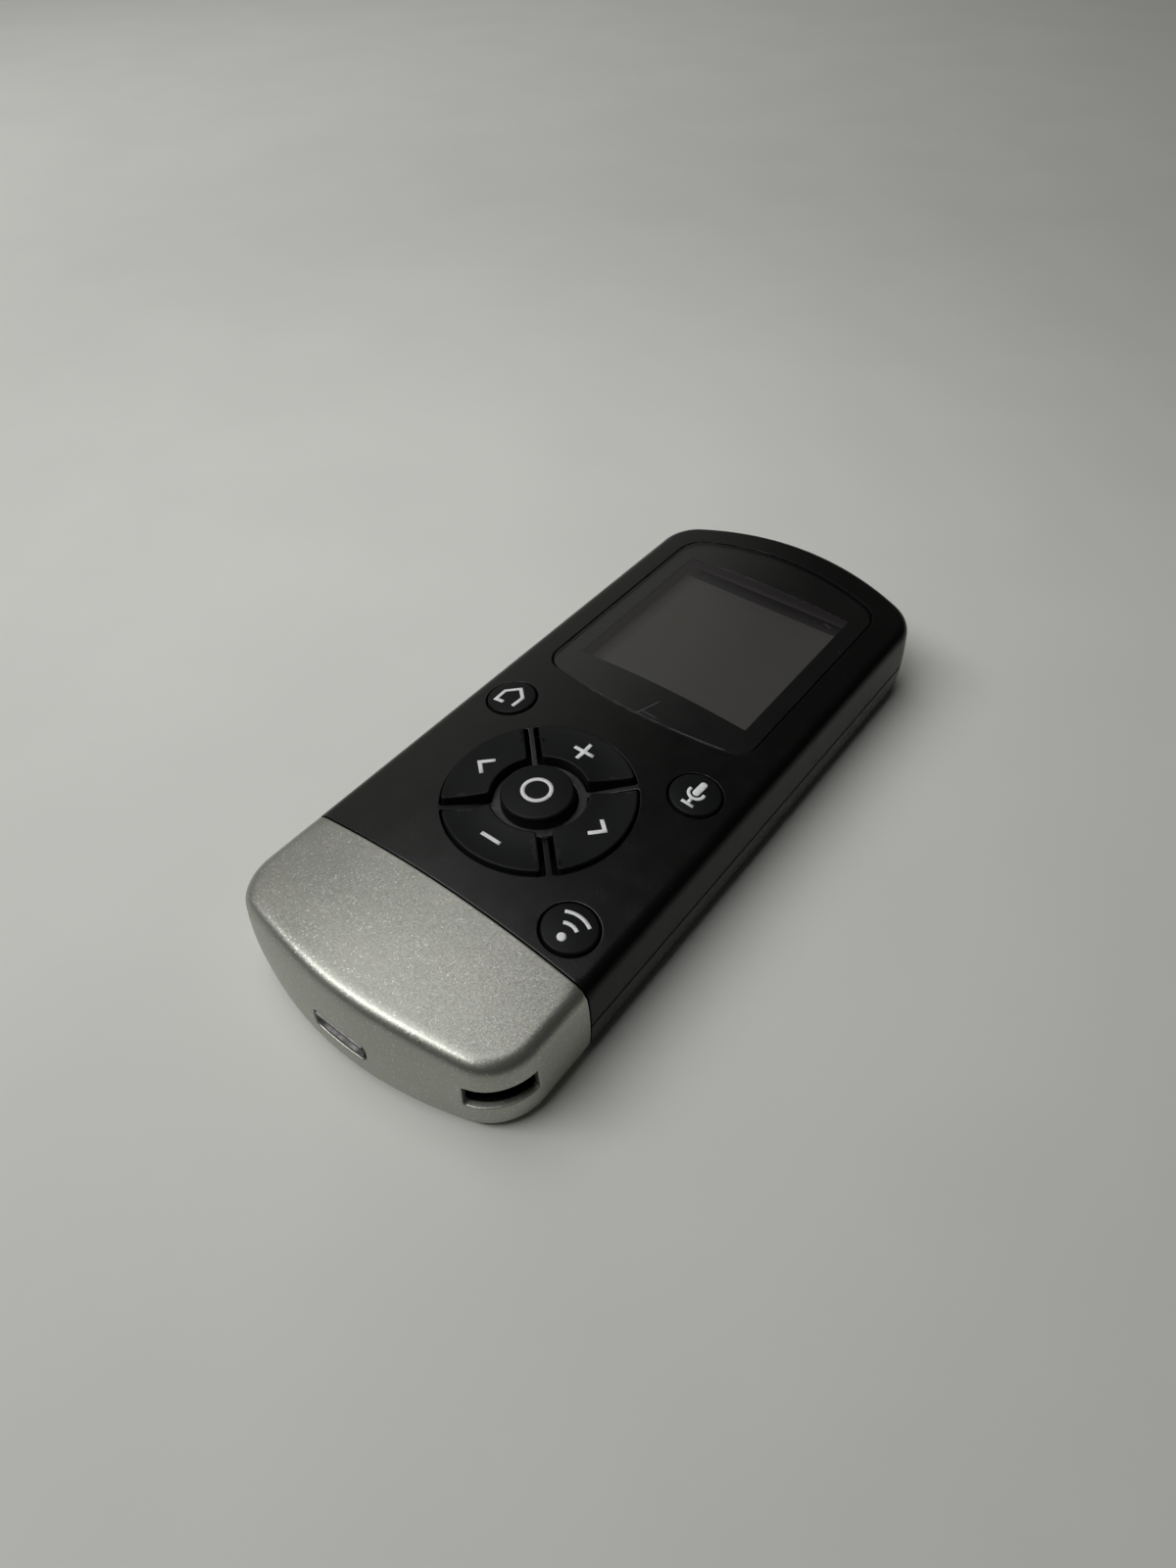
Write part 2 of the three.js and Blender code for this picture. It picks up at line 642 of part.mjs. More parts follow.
const matHalfWidth = smallKeyX + smallKeyRadius;
let mat = block(-matHalfWidth, matHalfWidth, ringY - smallKeyFromRing - smallKeyRadius,
  ringY + smallKeyFromRing + smallKeyRadius, boardTop + layerGap,
  boardTop + layerGap + matThickness);
for (const key of keys) {
  mat = mat.subtract(post(key.x + key.plungerX, key.y + key.plungerY, domeRadius + matMargin,
    0, farAway, 12));
}
add('keypad_mat', geometryOf(mat), finish(0x2b2c2e, 0.85));

// ---- Display module: a tray on the board with the backlight and the panel in it ----
const panelHalfWidth = displayWidth / 2 + panelMargin;
const panelHalfHeight = displayHeight / 2 + panelMargin;
const flexTop = displayTop - panelThickness - layerGap;
const flexBottom = flexTop - backlightThickness;
const frame = block(-frameHalfWidth, frameHalfWidth, -frameHalfHeight, frameHalfHeight,
  frameBottom, displayTop)
  .subtract(block(-panelHalfWidth - frameFit, panelHalfWidth + frameFit,
    -panelHalfHeight - frameFit, panelHalfHeight + frameFit,
    frameBottom + frameFloor, farAway))
  .subtract(block(-flexWidth / 2 - frameFit, flexWidth / 2 + frameFit, -farAway, 0,
    frameBottom + frameFloor, farAway));
add('lcd_frame', geometryOf(frame), finish(0x3a3b3c, 0.5, 0.4), 0, windowY);
const panel = new THREE.BoxGeometry(2 * panelHalfWidth, 2 * panelHalfHeight, panelThickness);
add('lcd_panel', panel, finish(0x3a3937, 0.15), 0, windowY, displayTop - panelThickness / 2);
const light = new THREE.BoxGeometry(2 * panelHalfWidth, 2 * panelHalfHeight, backlightThickness);
add('lcd_backlight', light, finish(0xe6e6e0, 0.4), 0, windowY, (flexTop + flexBottom) / 2);

// The flex leaves the tray's notch, drops and ends over its connector on the board
const connectorTop = boardTop + layerGap + connectorHeight;
const flexStart = windowY - panelHalfHeight - frameFit;
const flexMiddle = (flexTop + flexBottom) / 2;
const flexPath = [
  [flexStart, flexMiddle], [flexStart - flexReach * 0.4, flexMiddle],
  [flexStart - flexReach * 0.6, connectorTop + layerGap + flexThickness / 2],
  [flexStart - flexReach, connectorTop + layerGap + flexThickness / 2],
];
const flexShape = new THREE.Shape([
  ...flexPath.map(([y, z]) => new THREE.Vector2(y, z + flexThickness / 2)),
  ...flexPath.slice().reverse().map(([y, z]) => new THREE.Vector2(y, z - flexThickness / 2)),
]);
const flex = new THREE.ExtrudeGeometry(flexShape, { depth: flexWidth, bevelEnabled: false });
flex.translate(0, 0, -flexWidth / 2).rotateZ(Math.PI / 2).rotateY(Math.PI / 2);
add('lcd_flex', flex, finish(0x9c5a22, 0.5));

// Boxed components: name, size, centre, side of the board, colour
const chipBlack = finish(0x17181a, 0.5);
const nickel = finish(0xb5b6b2, 0.35, 1);
function component(name, width, length, height, x, y, onTop, material) {
  const z = onTop ? boardTop + layerGap + height / 2 : boardBottom - layerGap - height / 2;
  return add(name, new THREE.BoxGeometry(width, length, height), material, x, y, z);
}
component('lcd_connector', flexWidth + 2 * connectorMargin, connectorLength, connectorHeight,
  0, flexStart - flexReach + connectorLength / 2 - leadEndGap, true, finish(0xd8d2c0, 0.5));
component('processor_chip', processorSize, processorSize, processorHeight,
  chipColumn, chipsY, false, chipBlack);
component('memory_chip', memoryWidth, memoryLength, memoryHeight,
  chipColumn, chipsY + memoryPitch, false, chipBlack);
component('crystal', crystalWidth, crystalLength, lowChipHeight, chipColumn,
  chipsY - processorSize / 2 - crystalFromProcessor - crystalLength / 2, false, nickel);
component('radio_chip', radioChipSize, radioChipSize, lowChipHeight,
  -chipColumn, shieldY, false, chipBlack);
component('charger_chip', chargerChipSize, chargerChipSize, lowChipHeight,
  chargerX, seamY - chargerFromSeam, true, chipBlack);
component('antenna', antennaLength, antennaWidth, lowChipHeight,
  0, highEnd - antennaFromHighEnd, true, finish(0xd9d4c6, 0.4));

// The radio chip's shield: an open-topped can, its rim on the board
const can = block(-shieldWidth / 2, shieldWidth / 2, -shieldLength / 2, shieldLength / 2,
  -shieldHeight, 0)
  .subtract(block(-shieldWidth / 2 + shieldWall, shieldWidth / 2 - shieldWall,
    -shieldLength / 2 + shieldWall, shieldLength / 2 - shieldWall,
    -shieldHeight + shieldWall, shieldWall));
add('radio_shield', geometryOf(can), nickel, -chipColumn, shieldY, boardBottom - layerGap);

// ---- Charging socket in the board's notch, its mouth in the cap's opening ----
const socketHalf = socketWidth / 2;
const socketBase = 0.72 * socketHalf;
const socketSection = (shrink) => new THREE.Shape([
  new THREE.Vector2(-socketBase + shrink, -socketHeight / 2 + shrink),
  new THREE.Vector2(socketBase - shrink, -socketHeight / 2 + shrink),
  new THREE.Vector2(socketHalf - shrink, -socketHeight / 6),
  new THREE.Vector2(socketHalf - shrink, socketHeight / 2 - shrink),
  new THREE.Vector2(-socketHalf + shrink, socketHeight / 2 - shrink),
  new THREE.Vector2(-socketHalf + shrink, -socketHeight / 6),
]);
function alongSocket(shape, start, length) {
  const geometry = new THREE.ExtrudeGeometry(shape, { depth: length, bevelEnabled: false });
  return solidOf(geometry.rotateX(Math.PI / 2).translate(0, start + length, 0));
}
const socketShell = alongSocket(socketSection(0), 0, socketLength)
  .subtract(alongSocket(socketSection(socketWall), -1, socketLength + 1 - socketWall));
add('usb_receptacle', geometryOf(socketShell), nickel, 0, socketMouth, socketZ);
const tongueLength = socketLength - tongueSetback;
const tongue = new THREE.BoxGeometry(socketWidth / 2, tongueLength, tongueThickness);
add('usb_tongue', tongue, finish(0x1a1a1c, 0.5), 0,
  socketMouth + socketLength - socketWall - layerGap - tongueLength / 2,
  socketZ + socketHeight / 2 - socketWall - tongueDrop);

// ---- Battery on its pad, with its connector and two leads ----
const batteryShape = new THREE.Shape();
batteryShape.moveTo(-batteryWidth / 2 + pouchRadius, -batteryLength / 2);
for (const [sx, sy, turn] of [[1, -1, -90], [1, 1, 0], [-1, 1, 90], [-1, -1, 180]]) {
  const start = THREE.MathUtils.degToRad(turn);
  batteryShape.absarc(sx * (batteryWidth / 2 - pouchRadius), sy * (batteryLength / 2 - pouchRadius),
    pouchRadius, start, start + Math.PI / 2, false);
}
add('battery_cell', geometryOf(prism(batteryShape, batteryBottom, batteryTop, 3)),
  finish(0xa9abad, 0.4, 0.6), 0, batteryMiddle);
const pad = new THREE.BoxGeometry(batteryWidth - 2 * padInset, batteryLength - 2 * padInset,
  padThickness);
add('battery_pad', pad, finish(0x2a2a2c, 0.95), 0, batteryMiddle,
  floorWall + layerGap + padThickness / 2);
component('battery_connector', plugWidth, plugLength, plugHeight, plugX, plugY, false,
  finish(0xe8e4d8, 0.5));

// Each lead leaves the cell's middle, steps up and ends level with its plug
const leadZ = boardBottom - layerGap - plugHeight / 2;
const cellZ = (batteryTop + batteryBottom) / 2;
const leadStart = batteryHigh + leadEndGap;
const leadEnd = batteryHigh + plugFromBattery - leadEndGap;
const leadStep = (leadEnd - leadStart) / 3;
function batteryLead(name, side, color) {
  const x = plugX + side * leadGap;
  const route = new THREE.CatmullRomCurve3([
    new THREE.Vector3(x, leadStart, cellZ), new THREE.Vector3(x, leadStart + leadStep, cellZ),
    new THREE.Vector3(x, leadEnd - leadStep, leadZ), new THREE.Vector3(x, leadEnd, leadZ),
  ]);
  add(name, new THREE.ExtrudeGeometry(circleShape(leadRadius), {
    steps: 6, extrudePath: route, curveSegments: 4,
  }), finish(color, 0.6));
}
batteryLead('battery_lead_plus', 1, 0xa02018);
batteryLead('battery_lead_minus', -1, 0x151515);

// ---- Screws: a recessed pan head with a cross, and a plain shank ----
const screwSteel = finish(0x8b8c8c, 0.35, 1);
for (const { name, x, y, face, headDepth, holeTop } of screwPlaces) {
  const headLow = face + headDepth;
  const headHigh = headLow + screwHeadHeight;
  const crossTop = headLow + crossDepth;
  const screw = post(0, 0, screwHeadRadius, headLow, headHigh)
    .add(post(0, 0, screwRadius, headLow, holeTop - screwPlay - screwEndGap, 12))
    .subtract(block(-crossReach, crossReach, -crossHalfWidth, crossHalfWidth, 0, crossTop))
    .subtract(block(-crossHalfWidth, crossHalfWidth, -crossReach, crossReach, 0, crossTop));
  add(name, geometryOf(screw), screwSteel, x, y);
}

export default group;
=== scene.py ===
"""A slim pocket remote control with a small display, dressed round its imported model."""

import bmesh
import bpy
import numpy as np
from mathutils import Matrix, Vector
from mathutils.geometry import delaunay_2d_cdt


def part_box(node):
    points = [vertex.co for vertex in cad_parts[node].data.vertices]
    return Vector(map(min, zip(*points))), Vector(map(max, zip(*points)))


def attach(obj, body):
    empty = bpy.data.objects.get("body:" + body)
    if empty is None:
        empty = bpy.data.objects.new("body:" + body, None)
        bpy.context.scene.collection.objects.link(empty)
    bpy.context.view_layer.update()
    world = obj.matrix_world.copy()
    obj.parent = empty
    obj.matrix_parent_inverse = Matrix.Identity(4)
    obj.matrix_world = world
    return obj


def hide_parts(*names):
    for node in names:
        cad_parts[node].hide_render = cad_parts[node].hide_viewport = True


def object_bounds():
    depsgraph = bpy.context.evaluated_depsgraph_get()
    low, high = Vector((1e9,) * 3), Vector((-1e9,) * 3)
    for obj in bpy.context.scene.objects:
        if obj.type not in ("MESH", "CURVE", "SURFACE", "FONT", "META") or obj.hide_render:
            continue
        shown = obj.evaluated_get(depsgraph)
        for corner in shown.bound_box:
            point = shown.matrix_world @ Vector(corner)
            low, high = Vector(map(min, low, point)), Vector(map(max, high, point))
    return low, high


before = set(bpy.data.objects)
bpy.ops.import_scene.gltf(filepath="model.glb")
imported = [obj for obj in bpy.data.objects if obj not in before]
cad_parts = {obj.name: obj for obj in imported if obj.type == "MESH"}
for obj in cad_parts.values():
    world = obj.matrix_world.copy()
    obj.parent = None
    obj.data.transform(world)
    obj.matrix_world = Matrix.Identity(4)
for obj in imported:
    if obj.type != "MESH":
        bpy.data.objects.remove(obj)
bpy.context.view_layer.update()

MM = 0.001                      # shapes are worked out in millimetres

# ---- Camera: a phone held over the cap's end. Its place, aim and focal length were solved from the
# round key field, the round keys, the display, the window and the body's edges.
eye = np.array([55.23, -73.47, 102.01])
right = (0.78984, 0.61301, -0.01910)
down = (0.43911, -0.58697, -0.68018)
forward = (-0.42817, 0.52885, -0.73279)
axes = np.array([right, np.negative(down), np.negative(forward)]).T
camera = bpy.data.objects.new("camera", bpy.data.cameras.new("camera"))
pose = np.eye(4)
pose[:3, :3] = axes
pose[:3, 3] = eye * MM
camera.matrix_world = Matrix(pose.tolist())
focal_length, picture_height = 1036.74, 1600        # both in pixels
camera.data.sensor_width = 36
camera.data.lens = camera.data.sensor_width * focal_length / picture_height
camera.data.clip_start = 0.005
bpy.context.scene.collection.objects.link(camera)
bpy.context.scene.camera = camera

# ---- Front housing: the upper half of the casing, one injection moulding in black plastic with a
# fine spark-eroded grain. Its face is crowned, dished in the key field, and open for the keys and
# the display window. The surface is worked out in an unrolled plan and folded down at the edges.
def in_mm(box):
    """The low and high corners of a box, in millimetres."""
    return [np.array(corner) / MM for corner in box]


def plan_middle(node):
    """The middle of a node's box, in plan and in millimetres."""
    low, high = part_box(node)
    return np.array((low + high) / 2)[:2] / MM


body_low, body_high = in_mm(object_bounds())
half_width = body_high[0]
low_end, high_end = body_low[1], body_high[1]
thickness = in_mm(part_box("end_cap"))[1][2]
casing_wall = 1.6
crown_radius, crown_drop = 134, 1.6         # the face, and how far it falls to the sides
low_radius, high_radius = 45, 46            # plan arcs of the two ends
low_corner, high_corner = 7.4, 6
edge_radius, rear_edge_radius = 1.7, 2.2
parting = 5.5                               # height of the line where the halves meet
upper_wall, lower_wall = 5, 3.5             # the walls' shares of the unrolled plan
wall_bow = 37                               # radius of the side walls' slight bulge
ring_centre = np.array([0, low_end + 34.55])
ring_radius, hub_radius, dish_depth = 11.88, 5.65, 0.75
seam_middle = low_end + 18.05
seam_bulge = 0.45
nose_lean, nose_half_width = 1.2, 19        # the cap's end wall leans back, most in its middle,
nose_far, nose_near = 12, 3                 # and less from nose_near to nose_far behind the end

top_bow = (thickness - edge_radius - parting - crown_drop) ** 2 / (2 * wall_bow)
top_angle = np.pi / 2 - np.sqrt(2 * top_bow / wall_bow)
rear_angle = np.arcsin((parting - rear_edge_radius) / wall_bow)
rear_start = rear_edge_radius * (1 - np.sin(rear_angle))
rear_bow = (parting - rear_start) ** 2 / (2 * wall_bow)
rim_inset = edge_radius * np.sin(top_angle) + top_bow
edge_end = edge_radius * top_angle          # distances down the unrolled side, from the rim
parting_at = edge_end + upper_wall
rear_edge_at = parting_at + lower_wall
rear_face_at = rear_edge_at + rear_edge_radius * (np.pi / 2 - rear_angle)


def crown(x):
    """Height of the key face: an arc of crown_radius across the width."""
    return thickness - crown_radius + np.sqrt(crown_radius ** 2 - x ** 2)


def seam_line(x):
    """The seam between housing and cap in plan: a flat parabola that bows towards the keys."""
    share = np.clip(np.abs(x) / half_width, 0, 1)
    return seam_middle - seam_bulge * share ** 2


def ray(angle):
    """Unit vectors at these angles."""
    return np.stack([np.cos(angle), np.sin(angle)], 1)


def end_frame(side, width, tip, radius, corner):
    """One end of an outline, at its low tip for side -1 and its high one for 1: the centres of its
    arc and of its corner arc, and the angle at which they meet."""
    arc_y = tip - side * radius
    corner_x = width - corner
    corner_y = arc_y + side * np.sqrt((radius - corner) ** 2 - corner_x ** 2)
    return arc_y, corner_x, corner_y, np.arctan2(abs(corner_y - arc_y), corner_x)


def bowed_outline(width, low, high, radii, corners, step=1.0):
    """A closed outline, anticlockwise from its low point: feet and outward directions.
    Each end is an arc about a point on the axis, and corner arcs join it to straight sides."""
    feet, out = [], []
    for side, tip, radius, corner in zip((-1, 1), (low, high), radii, corners):
        arc_y, corner_x, corner_y, meet = end_frame(side, width, tip, radius, corner)
        arc_count = int((np.pi / 2 - meet) * radius / step) + 2
        arc = np.linspace(np.pi / 2, meet, arc_count)[:-1]
        turn = np.linspace(meet, 0, 20)
        around = ray(np.concatenate([arc, turn]) * side)
        centre = np.repeat([(0, arc_y), (corner_x, corner_y)], (len(arc), len(turn)), 0)
        size = np.repeat([radius, corner], (len(arc), len(turn)))
        feet.append((centre + around * size[:, None])[::-side])
        out.append(around[::-side])
    count = int(abs(feet[1][0, 1] - feet[0][-1, 1]) / step)
    along = np.linspace(0, 1, count + 1)[1:-1, None]
    straight = feet[0][-1] * (1 - along) + feet[1][0] * along
    half_feet = np.concatenate([feet[0], straight, feet[1]])
    half_out = np.concatenate([out[0], np.tile((1, 0), (len(straight), 1)), out[1]])
    mirror = np.array([-1, 1])
    return (np.concatenate([half_feet, (half_feet * mirror)[-2:0:-1]]),
            np.concatenate([half_out, (half_out * mirror)[-2:0:-1]]))


def rim_distance(x, y):
    """Distance outside the rim, where the face starts to turn down, and the way out from it."""
    ends = []
    for side, tip, radius, corner in ((-1, low_end, low_radius, low_corner),
                                      (1, high_end, high_radius, high_corner)):
        arc_y, corner_x, corner_y, meet = end_frame(side, half_width, tip, radius, corner)
        vx, vy = np.abs(x), side * (y - arc_y)
        reach = np.hypot(vx, vy)
        dx, dy = np.maximum(vx - corner_x, 1e-9), np.maximum(side * (y - corner_y), 0)
        near = np.hypot(dx, dy)
        on_arc = (vx * np.sin(meet) < vy * np.cos(meet)) & (vy > 0)
        ends.append((np.where(on_arc, reach - radius, near - corner) + rim_inset,
                     np.where(on_arc, vx / reach, dx / near),
                     np.where(on_arc, vy / reach, dy / near) * side))
    q, nx, ny = np.where(y < 0, *ends)
    return q, nx * np.sign(x), ny


def body_point(plan):
    """The body's surface over the unrolled plan. Inside the rim it is the crowned face. Outside,
    the distance q from the rim runs down the edge radius, the bowed wall and the rear edge. The
    low end's wall leans back in proportion to height, with a smooth fall to its sides."""
    x, y = plan[:, 0], plan[:, 1]
    q, nx, ny = rim_distance(x, y)
    q = np.maximum(q, 0)
    turn = np.minimum(q / edge_radius, top_angle)
    upper = np.clip((q - edge_end) / (parting_at - edge_end), 0, 1)
    lower = np.clip((q - parting_at) / (rear_edge_at - parting_at), 0, 1)
    tuck = rear_angle + np.clip((q - rear_edge_at) / rear_edge_radius, 0, np.pi / 2 - rear_angle)
    reach = edge_radius * np.sin(turn) + top_bow * (1 - (1 - upper) ** 2)
    reach -= rear_bow * lower ** 2 + rear_edge_radius * (np.cos(rear_angle) - np.cos(tuck))
    px, py = x + (reach - q) * nx, y + (reach - q) * ny
    top = crown(px) - edge_radius * (1 - np.cos(turn))
    z = top * (1 - upper) + parting * upper
    z = np.where(q > parting_at, parting - lower * (parting - rear_start), z)
    z = np.where(q > rear_edge_at, rear_edge_radius * (1 - np.sin(tuck)), z)
    middle = np.clip(1 - (px / nose_half_width) ** 4, 0, 1) ** 2
    near = np.clip((low_end + nose_far - py) / (nose_far - nose_near), 0, 1)
    py = py + nose_lean * z / thickness * middle * near ** 2 * (3 - 2 * near)
    return np.stack([px, py, z], 1)


def dished_point(plan):
    """The body's surface with the key field sunk as a flat cone round its hub."""
    p = body_point(plan)
    r = np.hypot(plan[:, 0] - ring_centre[0], plan[:, 1] - ring_centre[1])
    p[:, 2] -= dish_depth * np.clip((ring_radius - r) / (ring_radius - hub_radius), 0, 1)
    return p


def below_surface(surface):
    """The surface with a depth: a point moves in along the normal, which is the cross product of
    the surface's two differences."""
    step = 0.01

    def place(plan, depth):
        """The surface's points over a plan, moved in by one depth or by one for each point."""
        across = surface(plan + [step, 0]) - surface(plan - [step, 0])
        along = surface(plan + [0, step]) - surface(plan - [0, step])
        normal = np.cross(across, along)
        normal /= np.linalg.norm(normal, axis=1)[:, None]
        return surface(plan) - normal * np.reshape(depth, (-1, 1))
    return place


def inside(points, loop):
    """Even-odd test of points against a closed loop."""
    x, y = points[:, :1], points[:, 1:]
    (ax, ay), (bx, by) = loop.T, np.roll(loop, -1, 0).T
    with np.errstate(divide="ignore", invalid="ignore"):
        left = x < (bx - ax) * (y - ay) / (by - ay) + ax
    return ((((ay > y) != (by > y)) & left).sum(1) % 2) == 1


def within(points, loops):
    """Whether points lie inside the first loop and outside the others."""
    found = inside(points, loops[0])
    for loop in loops[1:]:
        found &= ~inside(points, loop)
    return found


def lattice(loop, spacing):
    """The corners of equilateral triangles over the box round a loop: every second row is moved
    by half a spacing, and the rows are a triangle's height apart."""
    triangle_height = spacing * 0.866
    (x0, y0), (x1, y1) = loop.min(0), loop.max(0)
    x, y = np.meshgrid(np.arange(x0, x1 + spacing, spacing), np.arange(y0, y1, triangle_height))
    x[1::2] += spacing / 2
    return np.stack([x.ravel(), y.ravel()], 1)


def fill(loops, extra=None, spacing=1.0):
    """Triangles over the first loop less the others: the loops' own points, with a lattice or the
    extra points given, kept clear of every loop, joined by a Delaunay triangulation."""
    if extra is None:
        extra = lattice(loops[0], spacing)
    keep = within(extra, loops)
    for loop in loops:
        edge = np.linalg.norm(np.roll(loop, -1, 0) - loop, axis=1).mean()
        gap = np.hypot(extra[:, :1] - loop[:, 0], extra[:, 1:] - loop[:, 1]).min(1)
        keep &= gap > 0.6 * min(edge, spacing)
    points = np.concatenate([*loops, extra[keep]])
    edges, start = [], 0
    for loop in loops:
        i = np.arange(len(loop))
        edges.append(np.stack([i, np.roll(i, -1)], 1) + start)
        start += len(loop)
    plan, _, faces, *_ = delaunay_2d_cdt(points.tolist(), np.concatenate(edges).tolist(),
                                         [], 0, 1e-6)
    plan, faces = np.array(plan), np.array(faces)
    faces = faces[within(plan[faces].mean(1), loops)]
    a, b, c = (plan[faces[:, k]] for k in range(3))
    wound = (b[:, 0] - a[:, 0]) * (c[:, 1] - a[:, 1]) - (b[:, 1] - a[:, 1]) * (c[:, 0] - a[:, 0])
    faces[wound < 0] = faces[wound < 0][:, ::-1]
    return plan, faces


def strips(rings, closed=True):
    """Quads between successive rings of the same number of points."""
    rings = np.array(rings)
    levels, count = rings.shape[:2]
    j = np.arange(count if closed else count - 1)
    a = (np.arange(levels - 1)[:, None] * count + j).ravel()
    b = (np.arange(levels - 1)[:, None] * count + (j + 1) % count).ravel()
    return rings.reshape(-1, 3), np.stack([a, b, b + count, a + count], 1)


def shell(place, outer, holes=(), *, edge, depth=casing_wall, rims=None, extra=None, spacing=1.0):
    """A wall of even depth over a plan: both faces filled alike, and rims rounded by the edge
    carried round each loop. outer and holes are (points, way into the material); rims marks the
    outer points that have a rim, and the others are left to meet the neighbouring surface. The
    inner face, and each rim past the outside's share of the depth, are marked as inner."""
    lead, outside_share = 0.12, 0.6
    turn = np.linspace(0, np.pi / 2, 5)
    into = np.concatenate([[edge + lead], edge * (1 - np.sin(turn))])
    sunk = np.concatenate([[0], edge * (1 - np.cos(turn))])
    change = len(into)
    into = np.concatenate([into, [0], into[::-1]])
    sunk = np.concatenate([sunk, [outside_share * depth], depth - sunk[::-1]])
    loops, meshes = [], []
    for k, (points, way) in enumerate([outer, *holes]):
        has_rim = np.ones(len(points), bool) if rims is None or k else rims
        loops.append(points + into[0] * way * has_rim[:, None])
        runs = [np.arange(len(points))]
        if not has_rim.all():
            first = np.flatnonzero(has_rim & ~np.roll(has_rim, 1))
            runs = [np.arange(s, s + np.argmin(np.roll(has_rim, -s))) % len(points) for s in first]
        for run in runs:
            rings = [place(points[run] + e * way[run], d) for e, d in zip(into, sunk)]
            meshes.append(strips(rings[:change + 1], closed=has_rim.all()))
            meshes.append((*strips(rings[change:], closed=has_rim.all()), 1))
    plan, faces = fill(loops, extra, spacing)
    meshes.append((place(plan, 0), faces))
    meshes.append((place(plan, depth), faces[:, ::-1], 1))
    return meshes


def piece(name, meshes, material, body="casing", replaces=(), lining=None):
    """One object from several (vertices, faces), in millimetres, merged where they meet, with its
    faces turned outwards. It rides on its body and stands for the nodes given. A lining is the
    finish of a wall's inner side, which shell marks with a third value."""
    merge_within = 0.012
    verts, faces, inner, start = [], [], [], 0
    for v, f, *side in meshes:
        verts.append(v)
        faces += (np.asarray(f) + start).tolist()
        inner += [1 if side and lining else 0] * len(f)
        start += len(v)
    mesh = bpy.data.meshes.new(name)
    mesh.from_pydata((np.concatenate(verts) * MM).tolist(), [], faces)
    for finish in (material, lining):
        if finish:
            mesh.materials.append(finish)
    mesh.polygons.foreach_set("material_index", inner)
    work = bmesh.new()
    work.from_mesh(mesh)
    bmesh.ops.remove_doubles(work, verts=work.verts, dist=merge_within * MM)
    bmesh.ops.recalc_face_normals(work, faces=work.faces)
    work.to_mesh(mesh)
    work.free()
    mesh.shade_smooth()
    made = bpy.data.objects.new(name, mesh)
    bpy.context.scene.collection.objects.link(made)
    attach(made, body)
    if replaces:
        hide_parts(*replaces)
    return made


class Value:
    """A shader socket in a sum: an operator on it adds the Math node that it stands for."""

    def __init__(self, finish, socket):
        self.finish, self.socket = finish, socket

    def maths(self, operation, *others):
        """The Math node of that operation, on the values or sockets given."""
        return self.finish.node("Math", dict(enumerate(others)), operation=operation)

    def __add__(self, other): return self.maths("ADD", self, other)
    def __radd__(self, other): return self.maths("ADD", other, self)
    def __sub__(self, other): return self.maths("SUBTRACT", self, other)
    def __rsub__(self, other): return self.maths("SUBTRACT", other, self)
    def __mul__(self, other): return self.maths("MULTIPLY", self, other)
    def __rmul__(self, other): return self.maths("MULTIPLY", other, self)
    def __truediv__(self, other): return self.maths("DIVIDE", self, other)
    def __rtruediv__(self, other): return self.maths("DIVIDE", other, self)
    def __abs__(self): return self.maths("ABSOLUTE", self)
    def __pow__(self, other): return self.maths("POWER", self, other)

    def ramp(self, low, high, to_low=0.0, to_high=1.0):
        """Smooth step: to_low below low, to_high above high."""
        return self.finish.node("MapRange", {0: self, 1: low, 2: high, 3: to_low, 4: to_high},
                                interpolation_type="SMOOTHSTEP")


class Finish:
    """One procedural material, or the light of the room when a world is given."""

    def __init__(self, name, owner=None):
        self.owner = owner or bpy.data.materials.new(name)
        self.owner.use_nodes = True
        self.tree = self.owner.node_tree
        self.tree.nodes.clear()

    def node(self, kind, inputs=None, output=0, **settings):
        """A node of that kind: its settings first, then the values or links of its sockets."""
        made = self.tree.nodes.new("ShaderNode" + kind)
        for key, value in settings.items():
            setattr(made, key, value)
        for key, value in (inputs or {}).items():
            if isinstance(value, Value):
                self.tree.links.new(value.socket, made.inputs[key])
            else:
                made.inputs[key].default_value = value
        return None if output is None else Value(self, made.outputs[output])

    def place(self):
        """Object coordinates in millimetres."""
        here = self.node("TexCoord", output="Object")
        return self.node("VectorMath", {0: here, 3: 1 / MM}, operation="SCALE")

    def across(self, where):
        """The x and the y of a place."""
        return [self.node("SeparateXYZ", {0: where}, output=k) for k in (0, 1)]

    def upward(self):
        """How far a face looks up: 1 on a level one and 0 on an upright one."""
        return self.node("SeparateXYZ", {0: self.node("NewGeometry", output="Normal")}, output=2)

    def noise(self, where, scale, detail=2.0):
        """A cloudy pattern from 0 to 1, with that many clouds to a millimetre."""
        return self.node("TexNoise", {"Vector": where, "Scale": scale, "Detail": detail})

    def mix(self, share, a, b):
        """Colour a, changing to colour b as share goes from 0 to 1."""
        return self.node("Mix", {0: share, 6: a, 7: b}, output=2, data_type="RGBA")

    def bump(self, height, depth):
        """A normal from a height of 0 to 1 that stands for that depth in millimetres."""
        return self.node("Bump", {"Height": height, "Distance": depth * MM})

    def surface(self, shader, output="OutputMaterial"):
        """Ends the material, or the world, with that shader."""
        self.node(output, {0: shader}, output=None)
        return self.owner


def grey(level, warm=0.0):
    """A near-neutral colour, warmer for a positive second number."""
    return (level * (1 + warm), level, level * (1 - warm), 1)


